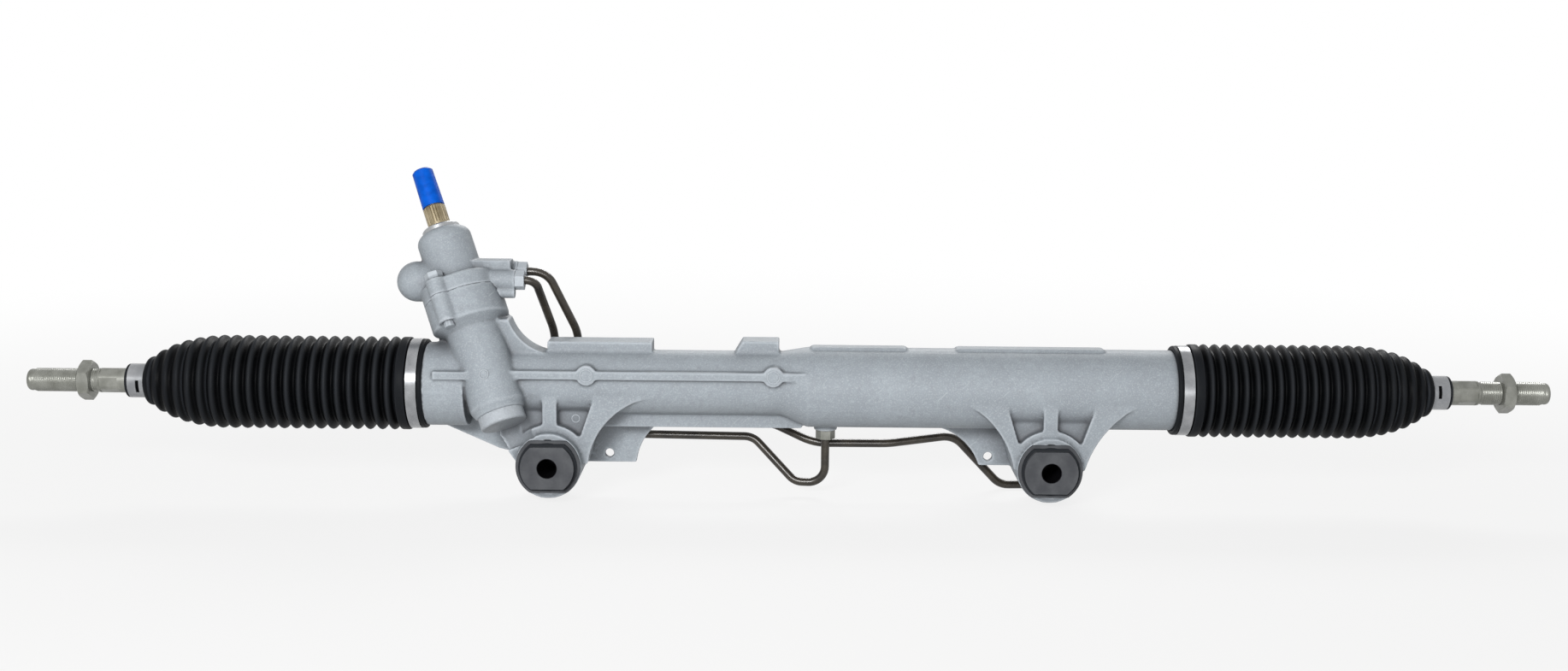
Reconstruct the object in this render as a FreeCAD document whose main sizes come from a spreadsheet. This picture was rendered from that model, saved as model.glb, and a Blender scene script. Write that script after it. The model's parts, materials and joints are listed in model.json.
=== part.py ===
import FreeCAD, Part
import math
import os
import Sketcher
from FreeCAD import Vector

# Hydraulic rack-and-pinion steering gear, in millimetres.
# X runs along the rack, Y away from the front, Z up.
# The origin is midway between the two mounting bolt holes, below the rack's own axis.

SIZES = {
    # where the rack lies against the mounting bolts, and where it stands now
    "rack_height": 57.0,
    "rack_offset": -8.5,
    "bolt_spacing": 380.0,
    # clearances
    "running_gap": 0.03,
    "seat_gap": 0.02,
    # the rack and its teeth
    "rack_radius": 13.0,
    "rack_half_length": 394.0,
    "rack_end_bore_depth": 26.0,
    "rack_chamfer": 1.5,
    "rack_tip_height": 9.5,
    "tooth_module": 2.2,
    "pressure_angle": 20.0,
    "root_depth_share": 1.25,
    "teeth_left": 15.0,
    "teeth_right": 12.0,
    # the pinion
    "pinion_place": -236.0,
    "pinion_tilt": 20.0,
    "pinion_lean": 22.0,
    "pinion_teeth": 8.0,
    "pinion_shift": 0.5,
    "pinion_addendum": 0.85,
    "pinion_root_depth": 0.75,
    "backlash": 0.1,
    "gear_bottom": -15.0,
    "gear_top": 17.0,
    "pinion_core": 6.5,
    "pinion_foot_radius": 6.0,
    "pinion_thread_radius": 5.0,
    "pinion_end": -33.0,
    "pinion_journal_radius": 11.0,
    "pinion_journal_top": 40.0,
    "pinion_waist_radius": 8.0,
    "pinion_head_bottom": 50.0,
    "pinion_head_top": 64.0,
    "pinion_nut_across": 16.0,
    "pinion_nut_height": 6.0,
    # bearings and seals round the pinion
    "foot_bearing_radius": 14.0,
    "foot_bearing_width": 7.5,
    "foot_bearing_inner": 8.2,
    "foot_bearing_track_gap": 0.3,
    "journal_bush_wall": 2.45,
    "journal_bush_bottom": 18.0,
    "journal_bush_length": 12.0,
    "journal_seal_radius": 15.0,
    "journal_seal_bottom": 31.0,
    "journal_seal_length": 6.0,
    "end_plug_radius": 17.5,
    "end_plug_thread": 15.0,
    "end_plug_top": -24.3,
    "end_plug_seat": -28.0,
    "end_plug_bottom": -37.5,
    "end_plug_cavity": 11.0,
    "end_plug_floor": 2.3,
    # the rotary valve
    "torsion_bar_end": 4.5,
    "torsion_bar_waist": 3.4,
    "torsion_bar_bottom": 34.0,
    "torsion_bar_grip": 14.0,
    "torsion_bar_flare": 4.0,
    "torsion_bar_top": 168.0,
    "torsion_bar_bore_depth": 32.0,
    "pin_radius": 1.5,
    "pin_height": 160.0,
    "rotor_radius": 10.0,
    "rotor_bottom": 65.0,
    "rotor_top": 104.0,
    "sleeve_radius": 15.3,
    "sleeve_bottom": 56.0,
    "sleeve_ring_groove": 1.6,
    "sleeve_ring_width": 2.4,
    "sleeve_ring_pitch": 12.0,
    "sleeve_first_ring": 61.0,
    "sleeve_port_width": 5.0,
    "sleeve_ring_count": 4.0,
    "valve_bore": 15.45,
    # the input shaft above the valve
    "input_shaft_radius": 8.7,
    "input_step_height": 144.6,
    "input_spline_radius": 7.2,
    "input_top": 172.0,
    "input_groove_depth": 1.0,
    "input_groove_height": 157.0,
    "input_groove_width": 6.0,
    "serration_count": 24.0,
    "serration_depth": 0.55,
    "serration_bottom": 130.0,
    "cap_wall": 0.9,
    "cap_top_wall": 3.0,
    "cap_flare": 0.55,
    "cap_round": 1.6,
    "input_bearing_radius": 15.0,
    "input_bearing_bottom": 105.2,
    "input_bearing_width": 7.6,
    "input_seal_radius": 13.0,
    "input_seal_bottom": 114.0,
    "input_seal_width": 5.5,
    "dust_ring_radius": 14.6,
    "dust_ring_height": 3.6,
    "dust_ring_foot": 2.0,
    # the pinion tower of the casting
    "tower_radius": 21.5,
    "tower_bottom": -28.0,
    "tower_chamfer": 3.0,
    "plug_room_radius": 19.5,
    "plug_room_length": 26.0,
    "joint_height": 68.0,
    "flange_radius": 30.0,
    "flange_bottom": 46.0,
    "flange_skirt": 6.0,
    "bolt_circle": 28.5,
    "bolt_angle": 241.0,
    "bolt_lobe_radius": 7.5,
    "valve_flange_height": 12.5,
    "valve_radius": 21.0,
    "valve_shoulder": 8.0,
    "valve_top": 123.0,
    "spigot_length": 10.0,
    "spigot_radius": 19.5,
    "gear_cavity_radius": 13.3,
    "upper_cavity_radius": 18.0,
    "bolt_radius": 4.0,
    "bolt_head_across": 12.0,
    "bolt_head_height": 5.5,
    "bolt_length": 30.0,
    # the rack guide behind the rack
    "guide_radius": 16.0,
    "guide_front": 4.0,
    "guide_back": 31.0,
    "guide_boss_radius": 22.0,
    "guide_boss_length": 46.0,
    "guide_spring_height": 2.2,
    "guide_spring_thickness": 1.2,
    "guide_spring_bore": 8.0,
    "adjuster_length": 16.0,
    "adjuster_socket_across": 14.0,
    "adjuster_socket_depth": 8.0,
    "guide_nut_across": 41.0,
    "guide_nut_height": 5.0,
    # the housing tubes
    "housing_half_length": 303.0,
    "cuff_seat_length": 18.0,
    "cuff_seat_radius": 30.0,
    "cuff_groove_depth": 1.2,
    "cuff_groove_width": 8.0,
    "collar_radius": 32.0,
    "collar_inner_end": -254.0,
    "slim_tube_radius": 24.7,
    "slim_tube_rise": 2.8,
    "slim_tube_end": -14.0,
    "cylinder_start": 6.0,
    "cylinder_radius": 30.8,
    "rack_bore": 15.0,
    "bush_bore": 17.0,
    "cylinder_bore": 22.5,
    "cylinder_bore_start": 8.0,
    "cylinder_bore_end": 288.0,
    # what the cylinder holds
    "inner_bush_length": 20.0,
    "inner_seal_length": 7.0,
    "outer_seal_start": 256.0,
    "outer_seal_length": 7.0,
    "end_bush_length": 24.0,
    "end_ring_radius": 24.0,
    "end_ring_bore": 15.0,
    "end_ring_length": 11.0,
    "piston_place": 115.0,
    "piston_width": 16.0,
    "piston_radius": 22.2,
    "piston_ring_depth": 2.4,
    "piston_ring_width": 4.0,
    # the eyes, webs, ribs and plates of the casting
    "eye_radius": 25.0,
    "eye_front": 33.0,
    "eye_back": 18.0,
    "eye_bore": 20.0,
    "eye_ring_radius": 30.0,
    "web_back": 14.0,
    "left_web_front": 23.5,
    "right_web_front": 30.0,
    "left_pocket_floor": 13.0,
    "right_pocket_floor": 21.5,
    "back_pocket_depth": 9.0,
    "web_rib_width": 11.0,
    "left_web_tip": -107.0,
    "left_web_arc": 59.0,
    "left_web_edge": -229.0,
    "right_web_left_tip": 122.0,
    "right_web_left_arc": 70.0,
    "right_web_right_tip": 262.0,
    "right_web_right_arc": 79.0,
    "web_tip_height": 52.0,
    "pocket_bottom": 20.0,
    "pocket_top": 59.0,
    "plate_front": 15.0,
    "plate_thickness": 6.0,
    "plate_bottom": -7.0,
    "plate_hole_radius": 3.5,
    "plate_hole_place": 148.0,
    "plate_arc": 46.0,
    "left_plate_tip": -276.0,
    "left_plate_tip_height": 21.5,
    "under_rib_end": 2.0,
    "under_rib_front": -4.0,
    "under_rib_thickness": 7.0,
    "under_rib_bottom": 25.0,
    "front_rib_height": 6.5,
    "front_rib_rise": 68.9,
    "front_rib_front": 28.0,
    "front_rib_end": 4.0,
    "pad_radius": 7.7,
    "left_pad": -161.5,
    "right_pad": -20.2,
    "top_plate_front": 7.0,
    "top_plate_depth": 24.0,
    "top_plate_height": 91.5,
    "top_plate_left": -193.0,
    "top_plate_right": -113.0,
    "second_plate_left": -50.0,
    "second_plate_right": -16.0,
    "second_plate_height": 93.0,
    "strip_width": 14.0,
    "strip_rise": 1.2,
    "collar_rib_width": 6.0,
    "collar_rib_rise": 3.0,
    "gusset_reach": 38.0,
    # bushings in the eyes
    "bushing_sleeve_wall": 1.6,
    "bushing_lip_radius": 24.4,
    "bushing_lip_flats": 40.0,
    "bushing_lip_thickness": 2.0,
    "bushing_rubber_radius": 22.0,
    "bushing_rubber_flats": 35.6,
    "bushing_rubber_lip": 2.2,
    "bushing_tube_radius": 12.0,
    "bushing_face_radius": 20.2,
    "bushing_face_flats": 32.2,
    "bushing_face_thickness": 4.0,
    "bolt_hole_radius": 7.25,
    "bushing_tail": 4.5,
    # inner joints and tie rods
    "ball_radius": 13.0,
    "seat_wall": 2.5,
    "seat_front": 7.5,
    "seat_shoulder": 3.6,
    "seat_flank": 10.2,
    "seat_back": 14.4,
    "seat_floor": 1.0,
    "seat_relief": 7.0,
    "seat_pocket_gap": 0.6,
    "socket_radius": 20.0,
    "socket_wrench_across": 32.0,
    "socket_wrench_radius": 17.4,
    "socket_back": 21.0,
    "socket_shoulder": 12.0,
    "socket_lip": 8.0,
    "socket_front": 16.0,
    "socket_front_radius": 18.9,
    "socket_mouth_radius": 17.9,
    "stud_radius": 7.0,
    "stud_length": 23.0,
    "washer_radius": 19.0,
    "washer_thickness": 3.0,
    "neck_radius": 7.5,
    "neck_end": 24.0,
    "rod_start": 38.0,
    "rod_radius": 9.5,
    # from the ball centre to places along the tie rod
    "rod_flat_reach": 96.0,
    "rod_flat_length": 14.0,
    "rod_flats_across": 18.3,
    "thread_reach": 112.5,
    "thread_radius": 9.0,
    "tip_reach": 166.0,
    "tip_round": 4.5,
    "jam_nut_across": 27.0,
    "jam_nut_height": 9.0,
    "jam_nut_reach_left": 116.4,
    "jam_nut_reach_right": 128.5,
    # bellows boots and their clamps
    "cuff_overhang": 3.0,
    "cuff_radius": 33.5,
    "cuff_bead_radius": 35.6,
    "cuff_bead_width": 6.0,
    "boot_radius": 36.0,
    "boot_wall": 2.0,
    "fold_count": 20.0,
    "fold_depth": 5.6,
    "last_fold_depth": 3.8,
    "boot_end_reach": 68.0,
    "taper_reach": 12.0,
    "taper_length": 68.0,
    "boot_neck_radius": 12.0,
    "boot_neck_reach": 89.0,
    "large_clamp_place": 4.0,
    "large_clamp_width": 8.0,
    "large_clamp_thickness": 1.0,
    "clamp_ear_width": 9.0,
    "clamp_ear_height": 4.0,
    "small_clamp_reach": 75.0,
    "small_clamp_width": 12.0,
    "small_clamp_thickness": 1.1,
    "small_clamp_slot": 2.6,
    # ports, pipes and their nuts
    "pipe_radius": 3.2,
    "pipe_nut_across": 13.0,
    "pipe_nut_length": 7.0,
    "pipe_nut_sink": 4.0,
    "port_boss_radius": 9.0,
    "cylinder_port_radius": 4.0,
    "left_port_place": 20.4,
    "left_port_depth": 6.0,
    "cylinder_port_height": 22.5,
    "right_port_place": 210.0,
    "right_port_reach": 38.0,
    "right_port_lean": 45.0,
    "valve_port_face": -218.0,
    "front_port_depth": 3.0,
    "front_port_height": 137.2,
    "rear_port_depth": 18.6,
    "rear_port_height": 142.0,
    "valve_port_radius": 8.0,
    "port_shelf_rise": 10.0,
    "supply_boss_radius": 15.5,
    "supply_boss_reach": 31.0,
    "supply_boss_level": 81.0,
}

doc = FreeCAD.newDocument("SteeringRack")
sheet = doc.addObject("Spreadsheet::Sheet", "Sizes")
for row, (name, number) in enumerate(SIZES.items(), start=1):
    sheet.set(f"A{row}", name)
    sheet.set(f"B{row}", str(number))
    sheet.setAlias(f"B{row}", name)
doc.recompute()


class Length:
    """A number together with the spreadsheet expression that it comes from."""

    def __init__(self, value, text):
        self.value = value
        self.text = text

    def __add__(self, other):
        other = lift(other)
        return Length(self.value + other.value, f"({self.text} + {other.text})")

    def __radd__(self, other):
        return lift(other) + self

    def __sub__(self, other):
        other = lift(other)
        return Length(self.value - other.value, f"({self.text} - {other.text})")

    def __rsub__(self, other):
        return lift(other) - self

    def __mul__(self, other):
        other = lift(other)
        return Length(self.value * other.value, f"({self.text} * {other.text})")

    def __rmul__(self, other):
        return lift(other) * self

    def __truediv__(self, other):
        other = lift(other)
        return Length(self.value / other.value, f"({self.text} / {other.text})")

    def __rtruediv__(self, other):
        return lift(other) / self

    def __neg__(self):
        return Length(-self.value, f"(0 - {self.text})")


def lift(number):
    """A plain number as a Length, and a Length as it is."""
    return number if isinstance(number, Length) else Length(float(number), repr(float(number)))


def root_of(length):
    return Length(math.sqrt(length.value), f"sqrt({length.text})")


def across(radius, height):
    """How wide a sphere is at a height above its centre, as a radius."""
    return root_of(radius * radius - height * height)


def tan_of(angle):
    return Length(math.tan(math.radians(angle.value)), f"tan({angle.text} * 1deg)")


class Sizes:
    """Reads the spreadsheet's cells by name."""

    def __getattr__(self, name):
        return Length(float(sheet.get(name)), f"Sizes.{name}")


d = Sizes()


def bind(item, name, length):
    """Binds one property of a document object to the sheet."""
    length = lift(length)
    setattr(item, name, length.value)
    item.setExpression(name, length.text)


def facing(origin, direction, across=Vector(0, 0, 1)):
    """A placement whose Z points along direction, with X as near across as it can be."""
    z_axis = Vector(direction).normalize()
    x_axis = (across - z_axis * across.dot(z_axis)).normalize()
    return FreeCAD.Placement(origin, FreeCAD.Rotation(x_axis, z_axis.cross(x_axis), z_axis, "ZXY"))


def rack_point(station):
    return Vector(lift(station).value, 0, d.rack_height.value)


def along_rack(station=0.0):
    """At a station on the housing, looking along +X."""
    return facing(rack_point(station), Vector(1, 0, 0))


def outward(side, station):
    """On the left or right half of the rack, looking away from the middle; it goes with the rack."""
    place = lift(station).value * side + d.rack_offset.value
    return facing(rack_point(place), Vector(side, 0, 0))


def outward_fixed(side, station):
    """The same on the housing, which stays where it is."""
    return facing(rack_point(lift(station).value * side), Vector(side, 0, 0))


def to_front(x_place, back, z_place=0.0):
    """Drawn as seen from the front: X right, Y up, and Z towards the viewer, from the plane y = back."""
    origin = Vector(lift(x_place).value, lift(back).value, lift(z_place).value)
    return facing(origin, Vector(0, -1, 0), Vector(1, 0, 0))


# the pinion's axis leans back and tilts to the left; it passes the rack in front and above
LEAN = math.radians(d.pinion_lean.value)
TILT = math.radians(d.pinion_tilt.value)
TOWARDS_PINION = Vector(0, -math.cos(LEAN), math.sin(LEAN))
UP_THE_TEETH = Vector(0, math.sin(LEAN), math.cos(LEAN))
PINION_AXIS = UP_THE_TEETH * math.cos(TILT) + Vector(-math.sin(TILT), 0, 0)
PITCH_RADIUS = d.pinion_teeth.value * d.tooth_module.value / (2 * math.cos(TILT))
# from the pinion's axis to the rack's, with the profile shift of a pinion with few teeth
CENTRE_DISTANCE = (
    PITCH_RADIUS + (d.pinion_shift.value - 1) * d.tooth_module.value + d.rack_tip_height.value
)
BALL_STATION = d.rack_half_length + d.washer_thickness + d.socket_back
CUFF_START = d.housing_half_length - d.cuff_seat_length
CUFF_END = d.housing_half_length + d.cuff_overhang
MESH_POINT = rack_point(d.pinion_place) + TOWARDS_PINION * CENTRE_DISTANCE


def up_tower(height=0.0, turned=0.0):
    """On the pinion's axis, at a height above the mesh, turned about the axis by some degrees."""
    place = facing(MESH_POINT + PINION_AXIS * lift(height).value, PINION_AXIS, Vector(1, 0, 0))
    return place * turned_about_z(turned)


def behind_rack(depth=0.0):
    """On the rack guide's axis, looking away from the pinion."""
    origin = rack_point(d.pinion_place) - TOWARDS_PINION * lift(depth).value
    return facing(origin, TOWARDS_PINION * -1, Vector(1, 0, 0))


def turned_about_z(angle):
    return FreeCAD.Placement(Vector(), FreeCAD.Rotation(Vector(0, 0, 1), angle))


def arc_edge(start, end, radius):
    """The short arc from start to end, with its centre to the left for a radius above 0.

    Also says whether the arc had to be drawn from its end.
    """
    chord = end - start
    middle = (start + end) * 0.5
    left = Vector(-chord.y, chord.x, 0).normalize()
    rise = math.sqrt(max(radius * radius - chord.Length**2 / 4, 0.0))
    centre = middle + left * (rise if radius > 0 else -rise)
    first, last = (start, end) if radius > 0 else (end, start)
    from_angle = math.atan2(first.y - centre.y, first.x - centre.x)
    to_angle = math.atan2(last.y - centre.y, last.x - centre.x)
    if to_angle <= from_angle:
        to_angle += 2 * math.pi
    circle = Part.Circle(centre, Vector(0, 0, 1), abs(radius))
    return Part.ArcOfCircle(circle, from_angle, to_angle), radius < 0


def outline_sketch(body, role, name, corners):
    """A closed outline on one of the body's own planes.

    Each corner is (x, y), or (x, y, radius) where an arc leads to the next corner.
    """
    sketch = body.newObject("Sketcher::SketchObject", name)
    plane = next(item for item in body.Origin.OriginFeatures if item.Role == role)
    sketch.AttachmentSupport = [(plane, "")]
    sketch.MapMode = "FlatFace"
    corners = [tuple(lift(number) for number in corner) for corner in corners]
    points = [Vector(corner[0].value, corner[1].value, 0) for corner in corners]
    edges = []
    heads = []
    for index, corner in enumerate(corners):
        following = points[(index + 1) % len(points)]
        if len(corner) == 3:
            edge, backwards = arc_edge(points[index], following, corner[2].value)
        else:
            edge, backwards = Part.LineSegment(points[index], following), False
        edges.append(edge)
        heads.append(2 if backwards else 1)
    sketch.addGeometry(edges, False)
    for index, corner in enumerate(corners):
        following = (index + 1) % len(corners)
        sketch.addConstraint(
            Sketcher.Constraint("Coincident", index, 3 - heads[index], following, heads[following])
        )
        for kind, length in (("DistanceX", corner[0]), ("DistanceY", corner[1])):
            number = sketch.addConstraint(
                Sketcher.Constraint(kind, -1, 1, index, heads[index], length.value)
            )
            sketch.setExpression(f"Constraints[{number}]", length.text)
        if len(corner) == 3:
            radius = corner[2] if corner[2].value > 0 else -corner[2]
            number = sketch.addConstraint(Sketcher.Constraint("Radius", index, radius.value))
            sketch.setExpression(f"Constraints[{number}]", radius.text)
    return sketch


def lathe(label, corners, placement):
    """A body turned about its own Z from corners given as (radius, height)."""
    body = doc.addObject("PartDesign::Body", label)
    sketch = outline_sketch(body, "XZ_Plane", f"{label}_outline", corners)
    turned = body.newObject("PartDesign::Revolution", f"{label}_turned")
    turned.Profile = sketch
    turned.ReferenceAxis = (sketch, ["V_Axis"])
    turned.Angle = 360
    body.Placement = placement
    return body


def ring(label, inner, outer, bottom, top, placement):
    return lathe(label, [(inner, bottom), (outer, bottom), (outer, top), (inner, top)], placement)


def slab(label, corners, thickness, placement):
    """A body of even thickness, drawn on its own XY plane."""
    body = doc.addObject("PartDesign::Body", label)
    sketch = outline_sketch(body, "XY_Plane", f"{label}_outline", corners)
    pad = body.newObject("PartDesign::Pad", f"{label}_pad")
    pad.Profile = sketch
    bind(pad, "Length", thickness)
    body.Placement = placement
    return body


def rod(label, radius, length, placement):
    item = doc.addObject("Part::Cylinder", label)
    bind(item, "Radius", radius)
    bind(item, "Height", length)
    item.Placement = placement
    return item


def block(label, low, high, placement=FreeCAD.Placement()):
    """A box between two corners, given in the placement's own axes."""
    item = doc.addObject("Part::Box", label)
    for name, start, end in zip(("Length", "Width", "Height"), low, high):
        bind(item, name, lift(end) - lift(start))
    corner = Vector(*(lift(number).value for number in low))
    item.Placement = placement * FreeCAD.Placement(corner, FreeCAD.Rotation())
    return item


def hexagon(label, across, length, placement):
    item = doc.addObject("Part::Prism", label)
    item.Polygon = 6
    bind(item, "Circumradius", across / root_of(lift(3)))
    bind(item, "Height", length)
    item.Placement = placement
    return item


def fuse(label, *shapes):
    item = doc.addObject("Part::MultiFuse", label)
    item.Shapes = list(shapes)
    item.Refine = True
    return item


def join(label, *shapes):
    """Fuses a casting's forms one after another, each on what is there so far."""
    whole = shapes[0]
    for number, shape in enumerate(shapes[1:], start=2):
        last = number == len(shapes)
        item = doc.addObject("Part::Fuse", label if last else f"{label}_stage_{number}")
        item.Base = whole
        item.Tool = shape
        item.Refine = last
        whole = item
    return whole


def cut(label, base, *tools):
    item = doc.addObject("Part::Cut", label)
    item.Base = base
    item.Tool = tools[0] if len(tools) == 1 else fuse(f"{label}_tools", *tools)
    item.Refine = True
    return item


def common(label, *shapes):
    item = doc.addObject("Part::MultiCommon", label)
    item.Shapes = list(shapes)
    return item


def group(label, *shapes):
    """Several equal solids that share one node."""
    item = doc.addObject("Part::Compound", label)
    item.Links = list(shapes)
    return item


def bolt_places(height):
    """Where the two valve housing bolts stand, at a height on the tower."""
    places = []
    for turn in (d.bolt_angle.value, d.bolt_angle.value + 180):
        place = up_tower(height, turn)
        places.append(place * FreeCAD.Placement(Vector(d.bolt_circle.value, 0, 0), FreeCAD.Rotation()))
    return places


def make_housing_tubes():
    """The collar at the pinion end, the slim tube, the taper and the cylinder."""
    half = d.housing_half_length
    seat = d.cuff_seat_length
    groove = d.cuff_seat_radius - d.cuff_groove_depth
    lip = (seat - d.cuff_groove_width) / 2

    def seat_corners(end, sense):
        """The boot's seat with its groove, from the housing's end inwards."""
        return [
            (d.cuff_seat_radius, end),
            (d.cuff_seat_radius, end - sense * lip),
            (groove, end - sense * lip),
            (groove, end - sense * (lip + d.cuff_groove_width)),
            (d.cuff_seat_radius, end - sense * (lip + d.cuff_groove_width)),
            (d.cuff_seat_radius, end - sense * seat),
        ]

    collar = lathe(
        "housing_collar",
        [(0, -half)]
        + seat_corners(-half, -1)
        + [
            (d.collar_radius, -half + seat),
            (d.collar_radius, d.collar_inner_end),
            (0, d.collar_inner_end),
        ],
        along_rack(),
    )
    cylinder = lathe(
        "housing_cylinder",
        [(0, half)]
        + seat_corners(half, 1)
        + [
            (d.cylinder_radius, half - seat),
            (d.cylinder_radius, d.cylinder_start),
            (0, d.cylinder_start),
        ],
        along_rack(),
    )
    rise = FreeCAD.Placement(Vector(0, 0, d.slim_tube_rise.value), FreeCAD.Rotation())
    slim_end = d.slim_tube_end
    slim = rod(
        "housing_slim_tube",
        d.slim_tube_radius,
        slim_end - d.collar_inner_end,
        rise * along_rack(d.collar_inner_end),
    )
    taper = doc.addObject("Part::Loft", "housing_taper")
    rings = []
    for name, radius, place in (
        ("taper_slim_ring", d.slim_tube_radius, rise * along_rack(slim_end)),
        ("taper_wide_ring", d.cylinder_radius, along_rack(d.cylinder_start)),
    ):
        circle = doc.addObject("Part::Circle", name)
        bind(circle, "Radius", radius)
        circle.Placement = place
        rings.append(circle)
    taper.Sections = rings
    taper.Solid = True
    taper.Ruled = True
    return [collar, cylinder, slim, taper]


def make_housing_tower():
    """The pinion's tower with its bolt flange, and the rack guide's boss behind it."""
    tower = lathe(
        "housing_tower",
        [
            (0, d.tower_bottom),
            (d.tower_radius - d.tower_chamfer, d.tower_bottom),
            (d.tower_radius, d.tower_bottom + d.tower_chamfer * 2),
            (d.tower_radius, d.flange_bottom - d.flange_skirt),
            (d.flange_radius, d.flange_bottom),
            (d.flange_radius, d.joint_height),
            (0, d.joint_height),
        ],
        up_tower(),
    )
    lobes = [
        rod(f"housing_lobe_{number}", d.bolt_lobe_radius, d.joint_height - d.flange_bottom, place)
        for number, place in enumerate(bolt_places(d.flange_bottom))
    ]
    guide = rod("housing_guide_boss", d.guide_boss_radius, d.guide_boss_length, behind_rack())
    return [tower, guide] + lobes


def make_housing_webs():
    """The two webs with their eyes, cored from the front and from behind."""
    half = d.bolt_spacing / 2
    eye = d.eye_radius
    shapes = []
    left = slab(
        "left_web",
        [
            (d.left_web_tip, d.pocket_top),
            (d.left_web_edge, d.pocket_top),
            (d.left_web_edge, d.pocket_bottom),
            (-half - eye, 0),
            (-half + eye + 4, 0, -d.left_web_arc),
            (d.left_web_tip, d.web_tip_height),
        ],
        d.left_web_front + d.web_back,
        to_front(0, d.web_back),
    )
    right = slab(
        "right_web",
        [
            (d.right_web_left_tip, d.pocket_top),
            (d.right_web_left_tip, d.web_tip_height, -d.right_web_left_arc),
            (half - eye - 2, 0),
            (half + eye + 2, 0, -d.right_web_right_arc),
            (d.right_web_right_tip, d.web_tip_height),
            (d.right_web_right_tip, d.pocket_top),
        ],
        d.right_web_front + d.web_back,
        to_front(0, d.web_back),
    )
    rib = d.web_rib_width / 2
    pocket_sides = {
        "left": (-1, d.left_web_front, d.left_pocket_floor, half + 27, half - 33, half + 22, half - 23),
        "right": (1, d.right_web_front, d.right_pocket_floor, half - 33, half + 34, half - 24, half + 24),
    }
    for side, web in (("left", left), ("right", right)):
        sign, front, floor, low_top, high_top, low_foot, high_foot = pocket_sides[side]
        centre = half * sign
        cores = []
        for number, (top, foot, sense) in enumerate(
            ((low_top * sign, low_foot * sign, -1), (high_top * sign, high_foot * sign, 1))
        ):
            corners = [
                (centre + rib * sense, d.pocket_bottom),
                (foot, d.pocket_bottom),
                (top, d.pocket_top - 10),
                (top, d.pocket_top + 1),
                (centre + rib * sense, d.pocket_top + 1),
            ]
            for face, depth, start in (
                ("front", front - floor + 1, -floor),
                ("back", d.back_pocket_depth + 1, d.web_back + 1),
            ):
                cores.append(
                    slab(f"{side}_{face}_core_{number}", corners, depth, to_front(0, start))
                )
        thickness = d.eye_front + d.eye_back
        keep = rod(f"{side}_eye_root", d.eye_ring_radius, thickness, to_front(centre, d.eye_back))
        cored = cut(f"{side}_web_cored", web, cut(f"{side}_cores", fuse(f"{side}_all_cores", *cores), keep))
        boss = rod(f"{side}_eye_boss", eye, thickness, to_front(centre, d.eye_back))
        shapes += [cored, boss]
    return shapes


def make_housing_plates():
    """Thin rear plates with their holes, and the long ribs."""
    front = d.plate_front
    back = front + d.plate_thickness
    hole = d.plate_hole_place
    shapes = []
    left = slab(
        "left_plate",
        [
            (d.left_plate_tip, d.rack_height - 12),
            (d.left_plate_tip, d.left_plate_tip_height),
            (-d.bolt_spacing / 2 - 44, 3),
            (-d.bolt_spacing / 2, d.plate_bottom),
            (-hole + 21, d.plate_bottom, -d.plate_arc),
            (-hole + 38, 24),
            (-hole + 38, d.rack_height - 12),
        ],
        d.plate_thickness,
        to_front(0, back),
    )
    right = slab(
        "right_plate",
        [
            (hole - 44, d.rack_height - 12),
            (hole - 44, 24, -d.plate_arc),
            (hole - 7, d.plate_bottom),
            (d.bolt_spacing / 2, d.plate_bottom),
            (d.bolt_spacing / 2 + 20, 12),
            (d.bolt_spacing / 2 + 20, d.rack_height - 12),
        ],
        d.plate_thickness,
        to_front(0, back),
    )
    shapes += [left, right]
    shapes.append(
        block(
            "under_rib",
            (-d.bolt_spacing / 2, d.under_rib_front, d.under_rib_bottom),
            (d.under_rib_end, d.under_rib_front + d.under_rib_thickness, d.rack_height - 12),
        )
    )
    rib_low = d.front_rib_rise - d.front_rib_height / 2
    shapes.append(
        block(
            "front_rib",
            (d.pinion_place, -d.front_rib_front, rib_low),
            (d.front_rib_end, 0, rib_low + d.front_rib_height),
        )
    )
    for name, place in (("left_pad", d.left_pad), ("right_pad", d.right_pad)):
        shapes.append(
            rod(f"housing_{name}", d.pad_radius, d.front_rib_front, to_front(place, 0, d.front_rib_rise))
        )
    top_back = d.top_plate_depth - d.top_plate_front
    shapes.append(
        block(
            "top_plate",
            (d.top_plate_left, -d.top_plate_front, d.rack_height),
            (d.top_plate_right, top_back, d.top_plate_height),
        )
    )
    shapes.append(
        slab(
            "second_top_plate",
            [
                (d.second_plate_left, d.rack_height),
                (d.second_plate_right, d.rack_height),
                (d.second_plate_right, d.second_plate_height),
                (d.second_plate_left + 6, d.second_plate_height),
                (d.second_plate_left, d.second_plate_height - 10),
            ],
            d.top_plate_depth,
            to_front(0, top_back),
        )
    )
    strip_top = d.rack_height + d.cylinder_radius + d.strip_rise
    for name, start, end in (("inner", 9, 81), ("outer", 120, 232)):
        shapes.append(
            block(
                f"{name}_strip",
                (start, -d.strip_width / 2, d.rack_height),
                (end, d.strip_width / 2, strip_top),
            )
        )
    rib_rise = d.rack_height + 9
    shapes.append(
        block(
            "collar_rib",
            (d.cuff_seat_length - d.housing_half_length + 8, -d.collar_radius - d.collar_rib_rise + 2, rib_rise),
            (d.pinion_place, 0, rib_rise + d.collar_rib_width),
        )
    )
    shapes.append(
        slab(
            "tower_gusset",
            [
                (d.pinion_place, d.rack_height),
                (d.pinion_place + 44, d.rack_height),
                (d.pinion_place + 44, d.rack_height + d.slim_tube_radius + 1, -d.gusset_reach),
                (d.pinion_place + 14, d.rack_height + d.slim_tube_radius + 27),
                (d.pinion_place, d.rack_height + d.slim_tube_radius + 27),
            ],
            22,
            to_front(0, 12),
        )
    )
    return shapes


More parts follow.
